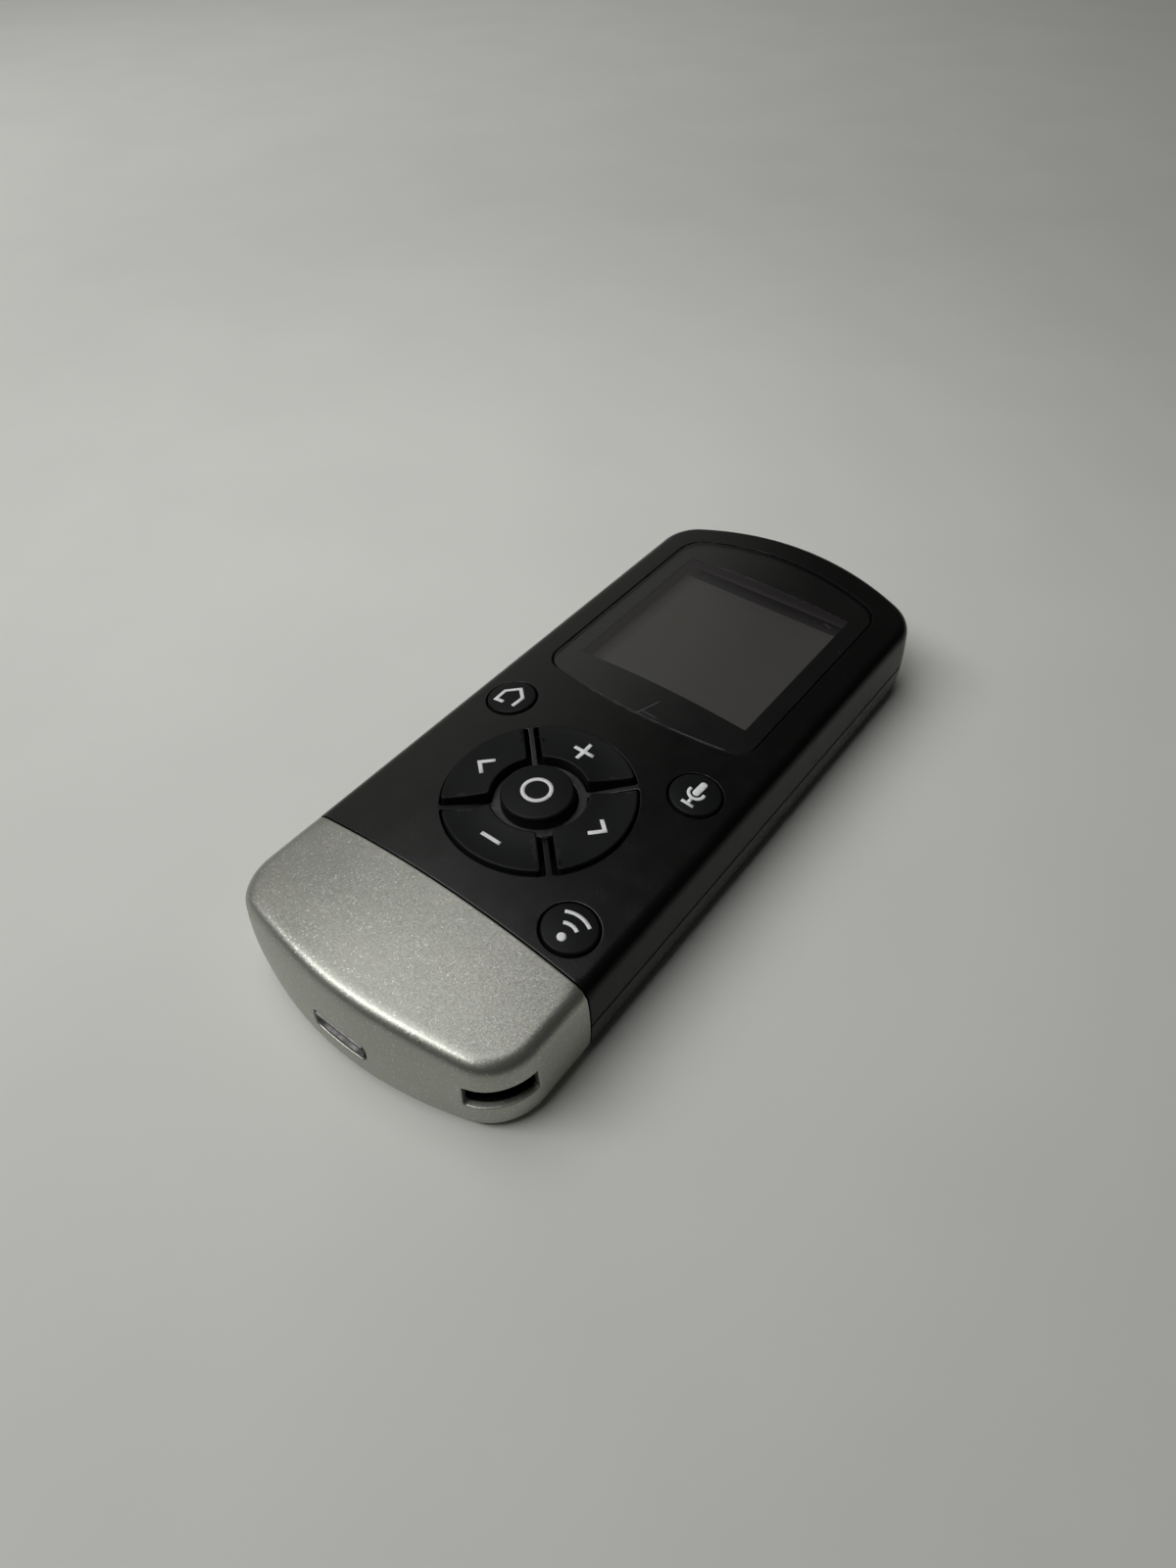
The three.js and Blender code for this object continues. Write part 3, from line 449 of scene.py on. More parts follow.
def moulded(name, colour, worn, roughness, grain, depth, dust=0.0, specular=0.5,
            side_specular=None, dust_and_painted_light=None, glow=(0, 0, 0, 1)):
    """Moulded plastic or rubber: spark-eroded grain as bump, slow drift of colour and gloss from
    handling, and specks of dust. Upright faces can be given less reflection. A lighter patch round
    a point as (x, y, radius) is part dust and part painted light that lifts the shade there, and a
    glow is painted light on parts that lie in the shade under a clear cover."""
    f = Finish(name)
    where = f.place()
    drift = f.noise(where, 0.09, 3)
    fine = f.noise(where, grain, 3)
    smudge = f.noise(where, 0.35, 4)
    base = f.mix(drift.ramp(0.35, 0.7), colour, worn)
    if dust:
        cells = f.node("TexVoronoi", {"Vector": where, "Scale": 0.9})
        chance = f.node("TexNoise", {"Vector": where, "Scale": 0.6})
        speck = (cells.ramp(0.03, 0.07, 1, 0) * chance.ramp(0.52, 0.62)) * dust
        base = f.mix(speck, base, grey(0.16, 0.02))
    # A lighter grey patch round a point: part dust, part painted light that lifts the shade there.
    if dust_and_painted_light:
        x, y = f.across(where)
        off = ((x - dust_and_painted_light[0]) ** 2.0 + (y - dust_and_painted_light[1]) ** 2.0) ** 0.5
        base = f.mix(off.ramp(dust_and_painted_light[2] - 0.6, dust_and_painted_light[2] + 0.2, 1, 0) * smudge.ramp(0.2, 0.6, 0.4, 1),
                     base, grey(0.045, 0.02))
    rough = roughness + (smudge - 0.5) * 0.12 + (fine - 0.5) * 0.06
    inputs = {"Base Color": base, "Roughness": rough, "Normal": f.bump(fine, depth),
              "Emission Color": glow, "Emission Strength": 1.0}
    shader = f.node("BsdfPrincipled", inputs | {"Specular IOR Level": specular})
    if side_specular:
        side = f.node("BsdfPrincipled", inputs | {"Specular IOR Level": side_specular})
        shader = f.node("MixShader", {0: f.upward().ramp(0.75, 0.97), 1: side, 2: shader})
    return f.surface(shader)


# Round the key hub the face is painted lighter: part dust, part painted light lifting the keys'
# shade.
shell_black = moulded("shell_black", grey(0.0026, 0.02), grey(0.0034, 0.03), roughness=0.25,
                      grain=5, depth=0.004, dust=0.25, side_specular=0.1,
                      dust_and_painted_light=(*ring_centre, hub_radius + 0.3))
housing_edge = 0.03                         # rounding of the housings' rims


def circle(radius, centre=(0, 0), count=64):
    """A circle's points and outward directions."""
    out = ray(np.linspace(0, 2 * np.pi, count, endpoint=False))
    return np.array(centre) + radius * out, out


def sector(turn, inner, outer, side, corner):
    """One quarter of the key ring, its straight sides parallel to the spokes: points anticlockwise
    and outward directions. Half is worked out from the spoke on its right, and mirrored. The
    directions come from the difference to the same shape grown by a small step."""
    def half(grow):
        """The inner arc, its corner, the straight side, the outer corner and the outer arc."""
        radius_in, radius_out, round_by = inner - grow, outer + grow, corner + grow
        aside = side - grow + round_by
        reach = np.array([radius_in + round_by, radius_out - round_by])
        along = np.sqrt(reach ** 2 - aside ** 2)
        meet_in, meet_out = np.arctan2(aside, along)
        corner_in, corner_out = np.stack([along, (aside, aside)], 1)
        first = radius_in * ray(np.linspace(np.pi / 4, meet_in, 9)[:-1])
        near = corner_in + round_by * ray(np.linspace(meet_in + np.pi, 1.5 * np.pi, 7))
        far = corner_out + round_by * ray(np.linspace(-np.pi / 2, meet_out, 7))
        last = radius_out * ray(np.linspace(meet_out, np.pi / 4, 17)[1:])
        share = np.linspace(0, 1, 10)[1:-1, None]
        return np.concatenate([first, near, near[-1] * (1 - share) + far[0] * share, far, last])

    def whole(grow):
        """Both halves, turned to the key's place on the ring."""
        lower = half(grow)
        diagonal = np.array([[0, 1], [1, 0]])
        upper = (lower @ diagonal)[-2:0:-1]
        spoke = turn - np.pi / 4
        spin = np.array([[np.cos(spoke), np.sin(spoke)], [-np.sin(spoke), np.cos(spoke)]])
        return np.concatenate([lower, upper]) @ spin
    step = 0.01
    points = whole(0)
    return ring_centre + points, (whole(step) - points) / step


spoke_half, sector_corner = 0.35, 0.35      # the webs between the ring keys' openings
key_gap = 0.25                              # between a key and its opening
small_radius, select_radius = 3.2, 4.4
key_at = {k: plan_middle("key_" + k) for k in ("select", "home", "microphone", "streaming")}
window_low, window_high = in_mm(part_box("display_window"))
window_radii = (55, 45)


def window_outline(grow, corners, step=0.8):
    """The window's outline in plan, grown by that much all round."""
    return bowed_outline(window_high[0] + grow, window_low[1] - grow, window_high[1] + grow,
                         window_radii, corners, step)


rim_feet, rim_out = bowed_outline(half_width, low_end, high_end, (low_radius, high_radius),
                                  (low_corner, high_corner))
rim_feet = rim_feet - rim_inset * rim_out
seam_gap = 0.13                             # between the housings and the cap


def seam_points(reach, side, first=None):
    """Points along the seam in the unrolled plan, from one side to the other, or from the place
    first on, moved off it by half the gap: side is 1 for the housing and -1 for the cap."""
    far = half_width - rim_inset + reach
    x = np.linspace(-far if first is None else first, far, 61 if first is None else 8)
    folded = body_point(np.stack([x, np.full(len(x), seam_middle)], 1))[:, 0]
    return np.stack([x, seam_line(folded) + side * seam_gap / 2], 1)


def side_samples(reach, above):
    """The rim's samples on the housing's side of the seam, or on the cap's, moved out by reach and
    ordered anticlockwise from the seam."""
    clear = 0.5
    y = rim_feet[:, 1]
    chosen = (y > seam_middle + clear) if above else (y < seam_middle - seam_bulge - clear)
    start = np.flatnonzero(chosen & ~np.roll(chosen, 1))[0]
    run = np.arange(start, start + chosen.sum()) % len(y)
    return rim_feet[run] + reach * rim_out[run], rim_out[run]


def edge_lattice(above, levels, spacing):
    """Extra points for a body plan: a lattice on the face, and one row per level down the side."""
    inner = rim_feet - 0.8 * rim_out
    face = lattice(inner, spacing)
    rows = [side_samples(level, above)[0] for level in levels]
    return np.concatenate([face[inside(face, inner)], *rows])


parting_gap = 0.34                          # between the two housings
front_reach = parting_at - parting_gap / 2
seam = seam_points(front_reach, 1)
around, around_out = side_samples(front_reach, True)
front_loop = np.concatenate([seam, around])
front_way = np.concatenate([np.tile((0.0, 1.0), (len(seam), 1)), -around_out])
front_way[0], front_way[len(seam) - 1] = (1, 1), (-1, 1)       # diagonal at the seam's ends
# Rows of extra points down the side, by their distance from the rim, close together on the bend.
edge_rows = np.concatenate([[-0.4], np.linspace(0, edge_end, 10), [edge_end + 0.5]])
wall_rows = np.arange(edge_end + 1.4, front_reach - 0.3, 1)
front_holes = [window_outline(0.2, corners=(3.3, 4)), circle(select_radius + key_gap, ring_centre)]
front_holes += [circle(small_radius + key_gap, key_at[k]) for k in key_at if k != "select"]
front_holes += [sector(k * np.pi / 2, hub_radius, ring_radius, spoke_half, sector_corner)
                for k in range(4)]
front = shell(below_surface(dished_point), (front_loop, front_way), front_holes,
              edge=housing_edge, spacing=0.8,
              extra=edge_lattice(True, np.concatenate([edge_rows, wall_rows]), 0.8))
piece("casing_front", front, replaces=["front_housing"],
      material=shell_black)

# ---- Rear housing: the lower half, moulded in the same plastic and screwed on from below. Two
# screws pass the floor at the display's end, each down a recess, and two pass the neck.
flip = np.array([-1, 1])
rear_near = parting_at + parting_gap / 2
right_seam = seam_points(rear_face_at, 1, half_width - rim_inset + rear_near)
near, near_out = side_samples(rear_near, True)
far, _ = side_samples(rear_face_at, True)
rear_loop = np.concatenate([right_seam, far, (right_seam * flip)[::-1], near[::-1]])
rear_way = np.concatenate([np.tile((0.0, 1.0), (len(right_seam), 1)), np.zeros((len(far), 2)),
                           np.tile((0.0, 1.0), (len(right_seam), 1)), near_out[::-1]])
rear_way[0], rear_way[2 * len(right_seam) + len(far) - 1] = (1, 1), (-1, 1)
rear_rims = np.ones(len(rear_loop), bool)
rear_rims[len(right_seam):len(right_seam) + len(far)] = False
rear_wall_rows = np.linspace(parting_at + 0.8, rear_edge_at, 4)
rear_edge_rows = np.linspace(rear_edge_at, rear_face_at, 10)[1:-1]
rear = shell(below_surface(body_point), (rear_loop, rear_way), rims=rear_rims, edge=housing_edge,
             extra=edge_lattice(True, np.concatenate([rear_wall_rows, rear_edge_rows]), 0.9))


def level(plan, height):
    """A plan laid flat at one height, or at one for each point."""
    return np.column_stack([plan, np.broadcast_to(height, len(plan))])


def rear_face(around, side, holes, depth):
    """The flat part of a rear face, which meets the rounded edge along the points around it and
    ends at the seam."""
    rim = body_point(around)[:, :2]
    end = body_point(seam_points(rear_face_at, side)[-1:])[0, 0]
    x = side * np.linspace(-end, end, 61)
    seam_edge = np.stack([x, seam_line(x) + side * seam_gap / 2], 1)
    loop = np.concatenate([seam_edge, rim])
    way = np.concatenate([np.tile((0.0, side), (len(x), 1)), np.zeros((len(rim), 2))])
    return shell(level, (loop, way), holes, depth=depth, edge=housing_edge, spacing=1.5,
                 rims=np.arange(len(loop)) < len(x))


def turned(profile, centre, count=32):
    """A solid of revolution on an upright axis: every (radius, height) of the profile carried
    round a circle."""
    angle = np.linspace(0, 2 * np.pi, count, endpoint=False)
    r, z = np.array(profile, float).T[:, :, None]
    ring = np.broadcast_arrays(centre[0] + r * np.cos(angle), centre[1] + r * np.sin(angle), z)
    return strips(np.stack(ring, 2))


screw_recess, screw_hole, post_radius, collar_radius = 1.9, 1.0, 2.9, 2.0
post_foot, screw_seat, collar_foot, collar_top = 1.5, 2.02, 5.35, 6.3      # heights
case_screws = [plan_middle("case_screw_" + hand) for hand in ("left", "right")]
recesses = [circle(screw_recess, at, count=48) for at in case_screws]
rear += rear_face(far, 1, recesses, casing_wall)
post = [(screw_recess, post_foot), (screw_recess, screw_seat), (screw_hole, screw_seat),
        (screw_hole, collar_top), (collar_radius, collar_top), (collar_radius, collar_foot),
        (post_radius, collar_foot), (post_radius, post_foot), (screw_recess, post_foot)]
rear += [turned(post, at) for at in case_screws]
rear_black = moulded("rear_black", grey(0.0035), grey(0.0045, 0.01), roughness=0.27, grain=5,
                     depth=0.004, dust=0.2, side_specular=0.2)
piece("casing_rear", rear, replaces=["rear_housing"], material=rear_black)

# ---- Neck: the black plastic sleeve that both halves form beyond the seam. The cap slides on over
# it, and a screw on each side holds the halves together there.
neck_outside, neck_inside = 1.45, 2.55      # depths below the body's surface
neck_back, neck_front = 1.0, -7.6           # from the seam, in plan
neck_x = np.linspace(-1, 1, 121) * (half_width - rim_inset + rear_face_at)
neck_rings = []
for depth, y in ((neck_outside, neck_back), (neck_outside, neck_front), (neck_inside, neck_front),
                 (neck_inside, neck_back), (neck_outside, neck_back)):
    section = np.stack([neck_x, np.full(len(neck_x), seam_middle + y)], 1)
    neck_rings.append(below_surface(body_point)(section, depth))
piece("casing_neck", [strips(neck_rings)], material=rear_black)

# ---- End cap: a moulded sleeve with a closed end, painted satin silver over the whole outside.
# The paint's metal flake glitters. The cap has the charging socket's opening in its end wall and
# a slot for a wrist strap round one corner.
cap_wall = 1.3
cap_round, _ = side_samples(rear_face_at, False)
cap_seam = seam_points(rear_face_at, -1)[::-1]
cap_loop = np.concatenate([cap_round, cap_seam])
cap_way = np.concatenate([np.zeros((len(cap_round), 2)), np.tile((0.0, -1.0), (len(cap_seam), 1))])
cap_wall_rows = np.arange(edge_end + 1.4, rear_edge_at, 0.9)


def rounded_box(half_length, half_height, corner, spacing=0.45):
    """A rounded rectangle round its own middle, anticlockwise, and its outward directions: each
    quarter circle is followed by the straight side that leaves it."""
    half = np.array([half_length, half_height]) - corner
    points, outs = [], []
    for k, signs in enumerate(((1, 1), (-1, 1), (-1, -1), (1, -1))):
        out = ray(np.linspace(k, k + 1, 6) * np.pi / 2)
        arc = half * signs + corner * out
        run = 2 * half[k % 2]
        share = np.linspace(0, 1, int(run / spacing) + 2)[1:-1, None]
        points += [arc, arc[-1] + share * run * (-out[-1, 1], out[-1, 0])]
        outs += [out, np.tile(out[-1], (len(share), 1))]
    return np.concatenate(points), np.concatenate(outs)


def wall_opening(box, centre, size, middle):
    """An opening in an upright wall that is an arc in plan, laid out in the unrolled plan: the
    box's first number runs along the arc from the middle angle, and its second is the height."""
    def laid(points):
        """The points' places in the plan, from the wall's height at each."""
        out = ray(middle + points[:, 0] / size)
        top = crown(centre[0] + size * out[:, 0]) - edge_radius * (1 - np.cos(top_angle))
        z = points[:, 1]
        upper = edge_end + (top - z) / (top - parting) * (parting_at - edge_end)
        lower = parting_at + (parting - z) / (parting - rear_start) * (rear_edge_at - parting_at)
        q = np.where(z > parting, upper, lower)
        return centre + (size - rim_inset + q[:, None]) * out
    points, outs = box
    step = 0.01
    return laid(points), (laid(points + step * outs) - laid(points)) / step


socket_low, socket_high = in_mm(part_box("usb_receptacle"))
socket_middle, socket_half = (socket_low + socket_high) / 2, (socket_high - socket_low) / 2
port_fit, port_corner, slot_corner = 0.25, 0.9, 0.3
port, port_out = rounded_box(socket_half[0] + port_fit, socket_half[2] + port_fit, port_corner)
port_hole = wall_opening((port + socket_middle[[0, 2]], port_out), (0, low_end + low_radius),
                         low_radius, -np.pi / 2)
_, corner_x, corner_y, _ = end_frame(-1, half_width, low_end, low_radius, low_corner)
slot_start, slot_end, slot_height, slot_middle = np.radians(-71), np.radians(-5), 3.3, 6.87
slot_box, slot_out = rounded_box(low_corner * (slot_end - slot_start) / 2, slot_height / 2,
                                 slot_corner)
slot_hole = wall_opening((slot_box + (0, slot_middle), slot_out), (corner_x, corner_y), low_corner,
                         (slot_start + slot_end) / 2)
cap_rows = np.concatenate([edge_rows, cap_wall_rows, rear_edge_rows])
cap = shell(below_surface(body_point), (cap_loop, cap_way), [port_hole, slot_hole], depth=cap_wall,
            edge=0.16, rims=np.arange(len(cap_loop)) >= len(cap_round),
            extra=edge_lattice(False, cap_rows, 0.9))
cap += rear_face(cap_round, -1, [], cap_wall)


def silver_paint():
    """Satin silver paint: flakes are cells of a Voronoi pattern, each tilted its own way and a few
    of them bright, over a slow drift of gloss. Specks of dust and small dark nicks lie on it."""
    f = Finish("silver_paint")
    where = f.place()
    flake = f.node("TexVoronoi", {"Vector": where, "Scale": 8.5}, output="Color")
    tilt = f.node("VectorMath", {0: flake, 1: (0.5, 0.5, 0.5)}, operation="SUBTRACT")
    tilt = f.node("VectorMath", {0: tilt, 3: 0.08}, operation="SCALE")
    normal = f.node("VectorMath", {0: f.node("NewGeometry", output="Normal"), 1: tilt})
    normal = f.node("VectorMath", {0: normal}, operation="NORMALIZE")
    pick = f.node("SeparateColor", {0: flake})
    bright = pick.ramp(0.93, 0.98) * f.noise(where, 0.8, 2).ramp(0.25, 0.5)
    drift = f.noise(where, 0.15, 3)
    base = f.mix(drift.ramp(0.3, 0.7), (0.365, 0.37, 0.33, 1), (0.395, 0.395, 0.355, 1))
    base = f.mix(bright * 0.42, base, (0.95, 0.95, 0.92, 1))
    nick = f.node("TexVoronoi", {"Vector": where, "Scale": 0.42})
    rare = f.noise(where, 0.3, 1).ramp(0.55, 0.6)
    base = f.mix(nick.ramp(0.03, 0.05, 1, 0) * rare * 0.7, base, grey(0.06))
    rough = 0.39 + (drift - 0.5) * 0.06
    return f.surface(f.node("BsdfPrincipled", {
        "Base Color": base, "Metallic": 0.9, "Roughness": rough, "Normal": normal}))


piece("cap", cap, replaces=["end_cap"], material=silver_paint(),
      lining=rear_black)

# ---- Lanyard pin: a short steel dowel held upright between two bosses inside the cap, where a
# wrist strap is looped through the slot.
pin_low, pin_high = in_mm(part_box("lanyard_pin"))
pin_radius, chamfer = (pin_high - pin_low)[0] / 2, 0.15
pin_profile = [(0, pin_low[2]), (pin_radius - chamfer, pin_low[2]),
               (pin_radius, pin_low[2] + chamfer), (pin_radius, pin_high[2] - chamfer),
               (pin_radius - chamfer, pin_high[2]), (0, pin_high[2])]


def metal(name, colour, roughness, grain, depth, stretch=(1, 1, 1), tarnish=0.2):
    """Plated or rolled metal: fine grain, drawn out where stretch is small, and patches of
    tarnish."""
    f = Finish(name)
    where = f.place()
    drawn = f.node("VectorMath", {0: where, 1: stretch}, operation="MULTIPLY")
    fine = f.noise(drawn, grain, 3)
    patch = f.noise(where, 0.5, 3).ramp(0.45, 0.75)
    dull = tuple(0.55 * c for c in colour[:3]) + (1,)
    base = f.mix(patch * tarnish + (fine - 0.5) * 0.25, colour, dull)
    rough = roughness + (fine - 0.5) * 0.2 + patch * 0.1
    return f.surface(f.node("BsdfPrincipled", {
        "Base Color": base, "Metallic": 1.0, "Roughness": rough,
        "Normal": f.bump(fine, depth)}))


pin_steel = metal("pin_steel", grey(0.30), roughness=0.3, grain=4, depth=0.004,
                  stretch=(1, 1, 0.15))
piece("strap_pin", [turned(pin_profile, plan_middle("lanyard_pin"))],
      replaces=["lanyard_pin"], material=pin_steel)

# ---- Charging socket: a folded nickel-plated shell in the cap's opening, its bottom corners
# drawn in so that the plug goes in one way round, with a plastic tongue inside.
socket_wall = 0.3


def socket_section(shrink):
    """The shell's section as (x, z): a rectangle above, narrowing below, corners rounded by
    sampling each corner as a quadratic curve between points on its two sides."""
    corner, base_share = 0.45, 0.72
    wide, tall = socket_half[0] - shrink, socket_half[2] - shrink
    base = base_share * socket_half[0] - shrink
    corners = np.array([(-base, -tall), (base, -tall), (wide, -tall / 3), (wide, tall),
                        (-wide, tall), (-wide, -tall / 3)])
    back, ahead = np.roll(corners, 1, 0) - corners, np.roll(corners, -1, 0) - corners
    back *= corner / np.linalg.norm(back, axis=1)[:, None]
    ahead *= corner / np.linalg.norm(ahead, axis=1)[:, None]
    t = np.linspace(0, 1, 7)[None, :, None]
    start, middle, end = (v[:, None] for v in (corners + back, corners, corners + ahead))
    return ((1 - t) ** 2 * start + 2 * t * (1 - t) * middle + t ** 2 * end).reshape(-1, 2)


def socket_ring(shrink, y, size=1.0):
    """The shell's section at a place along the socket. A size of 0 closes it to a point."""
    section = socket_section(shrink) * size + socket_middle[[0, 2]]
    return np.stack([section[:, 0], np.full(len(section), y), section[:, 1]], 1)


mouth, back_end = socket_low[1], socket_high[1]
lip = 0.08
socket_rings = [socket_ring(0, back_end, 0), socket_ring(0, back_end), socket_ring(0, mouth + lip),
                socket_ring(lip, mouth), socket_ring(socket_wall - lip, mouth),
                socket_ring(socket_wall, mouth + lip),
                socket_ring(socket_wall, back_end - socket_wall),
                socket_ring(socket_wall, back_end - socket_wall, 0)]
nickel = metal("nickel_plate", grey(0.15, 0.02), roughness=0.5, grain=2.2, depth=0.01,
               stretch=(1, 0.12, 1), tarnish=0.35)
piece("socket_shell", [strips(socket_rings)], replaces=["usb_receptacle"],
      material=nickel)

# ---- Window ledge: the step inside the front housing on which the window's tape sits, with the
# opening through which the display is seen.
display_half, view_margin = np.array([13.1, 13.55]), 2.1       # the display's half sizes
display_at = np.array([0, (window_low[1] + window_high[1]) / 2])
ledge_depth, ledge_thick = 1.33, 0.85
face = below_surface(body_point)
ledge_loop, ledge_out = window_outline(0.5, corners=(3.6, 4.3), step=1.0)
view, view_out = rounded_box(*(display_half + view_margin), corner=0.4, spacing=1.5)


def sunk(depth):
    """The crowned face with its depth counted from the given depth."""
    return lambda plan, more: face(plan, depth + more)


ledge = shell(sunk(ledge_depth), (ledge_loop, -ledge_out), [(view + display_at, view_out)],
              depth=ledge_thick, edge=0.1, spacing=1.6)
piece("window_ledge", ledge, material=shell_black)

# ---- Display window: a clear acrylic lens taped into its recess, flush with the face. Its black
# border is screen printed on the back, so it lies a little below the surface.
lens_depth, print_depth, print_thick = 0.4, 0.42, 0.06
lens_loop, lens_out = window_outline(0, corners=(3.15, 3.85))
print_loop, print_out = window_outline(-0.12, corners=(3.0, 3.7))


def acrylic():
    """Clear acrylic: a sharp reflection over plain transparency, weighted by Fresnel on the outside
    only. Fine scratches, one forked, a light line along the lower edge that is part scuff and part
    painted highlight, and specks of dust scatter light."""
    f = Finish("clear_acrylic")
    where = f.place()
    x, y = f.across(where)

    def scratch(ax, ay, bx, by, width):
        """Share of a scratch from one point to another: near the segment, fading from its line."""
        dx, dy = bx - ax, by - ay
        t = ((x - ax) * dx + (y - ay) * dy) / (dx * dx + dy * dy)
        t = f.node("Clamp", {0: t})
        off = ((x - ax - t * dx) ** 2.0 + (y - ay - t * dy) ** 2.0) ** 0.5
        return off.ramp(width * 0.3, width, 1, 0)
    marks = scratch(0.8, window_low[1] + 0.1, 1.9, window_low[1] + 3.4, 0.08) * 0.16
    marks = marks + scratch(1.1, window_low[1] + 0.8, 3.4, window_low[1] + 0.75, 0.08) * 0.13
    marks = marks + scratch(11.0, window_high[1] - 9.4, 12.0, window_high[1] - 9.65, 0.1) * 0.12
    # A thin light line along the lower edge: part scuff, part painted highlight of the edge.
    edge_off = abs(y - window_low[1] - x * x / (2 * window_radii[0]) - 0.08)
    scuff_and_highlight = edge_off.ramp(0.03, 0.1, 1, 0) * x.ramp(-13.5, -11) * x.ramp(12.5, 13.5, 1, 0)
    scuff_and_highlight = scuff_and_highlight * x.ramp(-4, 2, 0.5, 1) * f.noise(where, 0.6, 3).ramp(0.25, 0.6)
    speck = f.node("TexVoronoi", {"Vector": where, "Scale": 0.32}).ramp(0.018, 0.03, 1, 0)
    marks = f.node("Clamp", {0: marks + scuff_and_highlight * 0.13 + speck * 0.15})
    haze = f.noise(where, 0.25, 4).ramp(0.3, 0.8, 0.03, 0.08)
    gloss = f.node("BsdfGlossy", {"Color": (1, 1, 1, 1), "Roughness": haze})
    clear = f.node("BsdfTransparent", {"Color": (0.97, 0.97, 0.97, 1)})
    outside = 1 - f.node("NewGeometry", output="Backfacing")
    share = f.node("Fresnel", {"IOR": 1.49}) * outside * f.upward().ramp(0.8, 0.97)
    body = f.node("MixShader", {0: share, 1: clear, 2: gloss})
    dust_and_painted_light = f.node("BsdfDiffuse", {"Color": grey(0.5)})
    return f.surface(f.node("MixShader", {0: marks * outside, 1: body, 2: dust_and_painted_light}))


lens = shell(face, (lens_loop, -lens_out), depth=lens_depth, edge=0.05, spacing=1.4)
piece("window_lens", lens, replaces=["display_window"], material=acrylic())
aperture, aperture_out = rounded_box(*display_half, corner=0.25, spacing=1.5)
border = shell(sunk(print_depth), (print_loop, -print_out), [(aperture + display_at, aperture_out)],
               depth=print_thick, edge=0.02, spacing=1.6)
printed = moulded("printed_black", grey(0.0018), grey(0.0024, 0.05), roughness=0.35, grain=8,
                  depth=0.003)
piece("window_border", border, material=printed)

# ---- Keys: eight caps moulded in black rubber-like plastic, each with a flange below that catches
# under the casing and a plunger that presses its dome. Every key slides straight down.
key_black = moulded("key_black", grey(0.0070, -0.05), grey(0.0085, -0.04), roughness=0.4, grain=4,
                    depth=0.006, dust=0.25, specular=0.14, side_specular=0.05)
flange_lip, flange_thick, flange_drop = 0.65, 0.7, 2.5
plunger_radius, plunger_root = 0.95, 0.2


def key_meshes(name, loop, out, lip, top, edge, plunger_at, outermost):
    """A key as rings of its plan: round the top edge, down the wall to the flange, out by the lip
    and down, then closed above along the top surface and below, with the plunger beneath."""
    lowest = in_mm(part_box("key_" + name))[0][2]
    flange_top = crown(outermost) - flange_drop
    bottom = flange_top - flange_thick
    turn = np.linspace(0, np.pi / 2, 6)
    lead = 0.06
    shrink = np.concatenate([[edge + lead], edge * (1 - np.sin(turn))])
    drop = np.concatenate([[0], edge * (1 - np.cos(turn))])
    rings = []
    for s, d in zip(shrink, drop):
        at = loop - s * out
        rings.append(level(at, top(at) - d))
    rings += [level(loop, flange_top), level(loop + lip, flange_top), level(loop + lip, bottom)]
    plan, faces = fill([loop - shrink[0] * out], spacing=0.55)
    under, under_faces = fill([loop + lip], spacing=1.5)
    root = bottom + plunger_root
    stem = [(0, lowest), (plunger_radius, lowest), (plunger_radius, root), (0, root)]
    return [strips(rings), (level(plan, top(plan)), faces), (level(under, bottom), under_faces),
            turned(stem, plunger_at, count=20)]


ring_inner, ring_outer = hub_radius + key_gap, ring_radius - key_gap
ring_middle = (ring_inner + ring_outer) / 2
ring_proud, ring_hollow, hollow_half, dome_fall = 0.57, 0.16, 2.6, 0.2
key_side = spoke_half + 0.55                # half the space between neighbouring ring keys


def ring_top(plan):
    """A ring key's top: the face plus how far it stands proud, less a shallow hollow that falls
    with the square of the distance from the ring's middle line."""
    off = np.hypot(*(plan - ring_centre).T) - ring_middle
    hollow = ring_hollow * np.clip(1 - (off / hollow_half) ** 2, 0, 1)
    return crown(plan[:, 0]) + ring_proud - hollow


def domed_top(centre, radius, proud):
    """A round key's top: the face plus how far it stands proud, falling with the square of the
    distance from its centre, by dome_fall at its edge."""
    return lambda plan: (crown(plan[:, 0]) + proud
                         - dome_fall * (np.hypot(*(plan - centre).T) / radius) ** 2)


key_top, key_parts = {}, {}
for k, name in enumerate(("right", "plus", "left", "minus")):
    loop, out = sector(k * np.pi / 2, ring_inner, ring_outer, key_side, corner=0.45)
    on_rim = np.hypot(*(loop - ring_centre).T) > ring_outer - 0.25
    plunger_at = ring_centre + ring_middle * np.round(ray(np.array([k * np.pi / 2])))[0]
    key_top[name] = ring_top
    key_parts[name] = (loop, out, out * flange_lip * on_rim[:, None], ring_top, 0.22, plunger_at,
                       ring_outer + flange_lip)
for name, centre in key_at.items():
    radius, proud, edge = ((select_radius, 1.32, 0.3) if name == "select"
                           else (small_radius, 0.43, 0.25))
    loop, out = circle(radius, centre)
    key_top[name] = domed_top(centre, radius, proud)
    key_parts[name] = (loop, out, out * flange_lip, key_top[name], edge, centre,
                       abs(centre[0]) + radius + flange_lip)
for name, parts in key_parts.items():
    piece("button_" + name, key_meshes(name, *parts), body="press_" + name,
          replaces=["key_" + name], material=key_black)

# ---- Symbols: printed on the keys in white ink, each a film that follows its key's top. The
# centre key has a plain ring.
white_ink = moulded("white_ink", grey(0.80, -0.01), grey(0.70), roughness=0.55, grain=6,
                    depth=0.003, specular=0.4)
ink_lift, ink_thick, stroke_width = 0.02, 0.06, 0.5


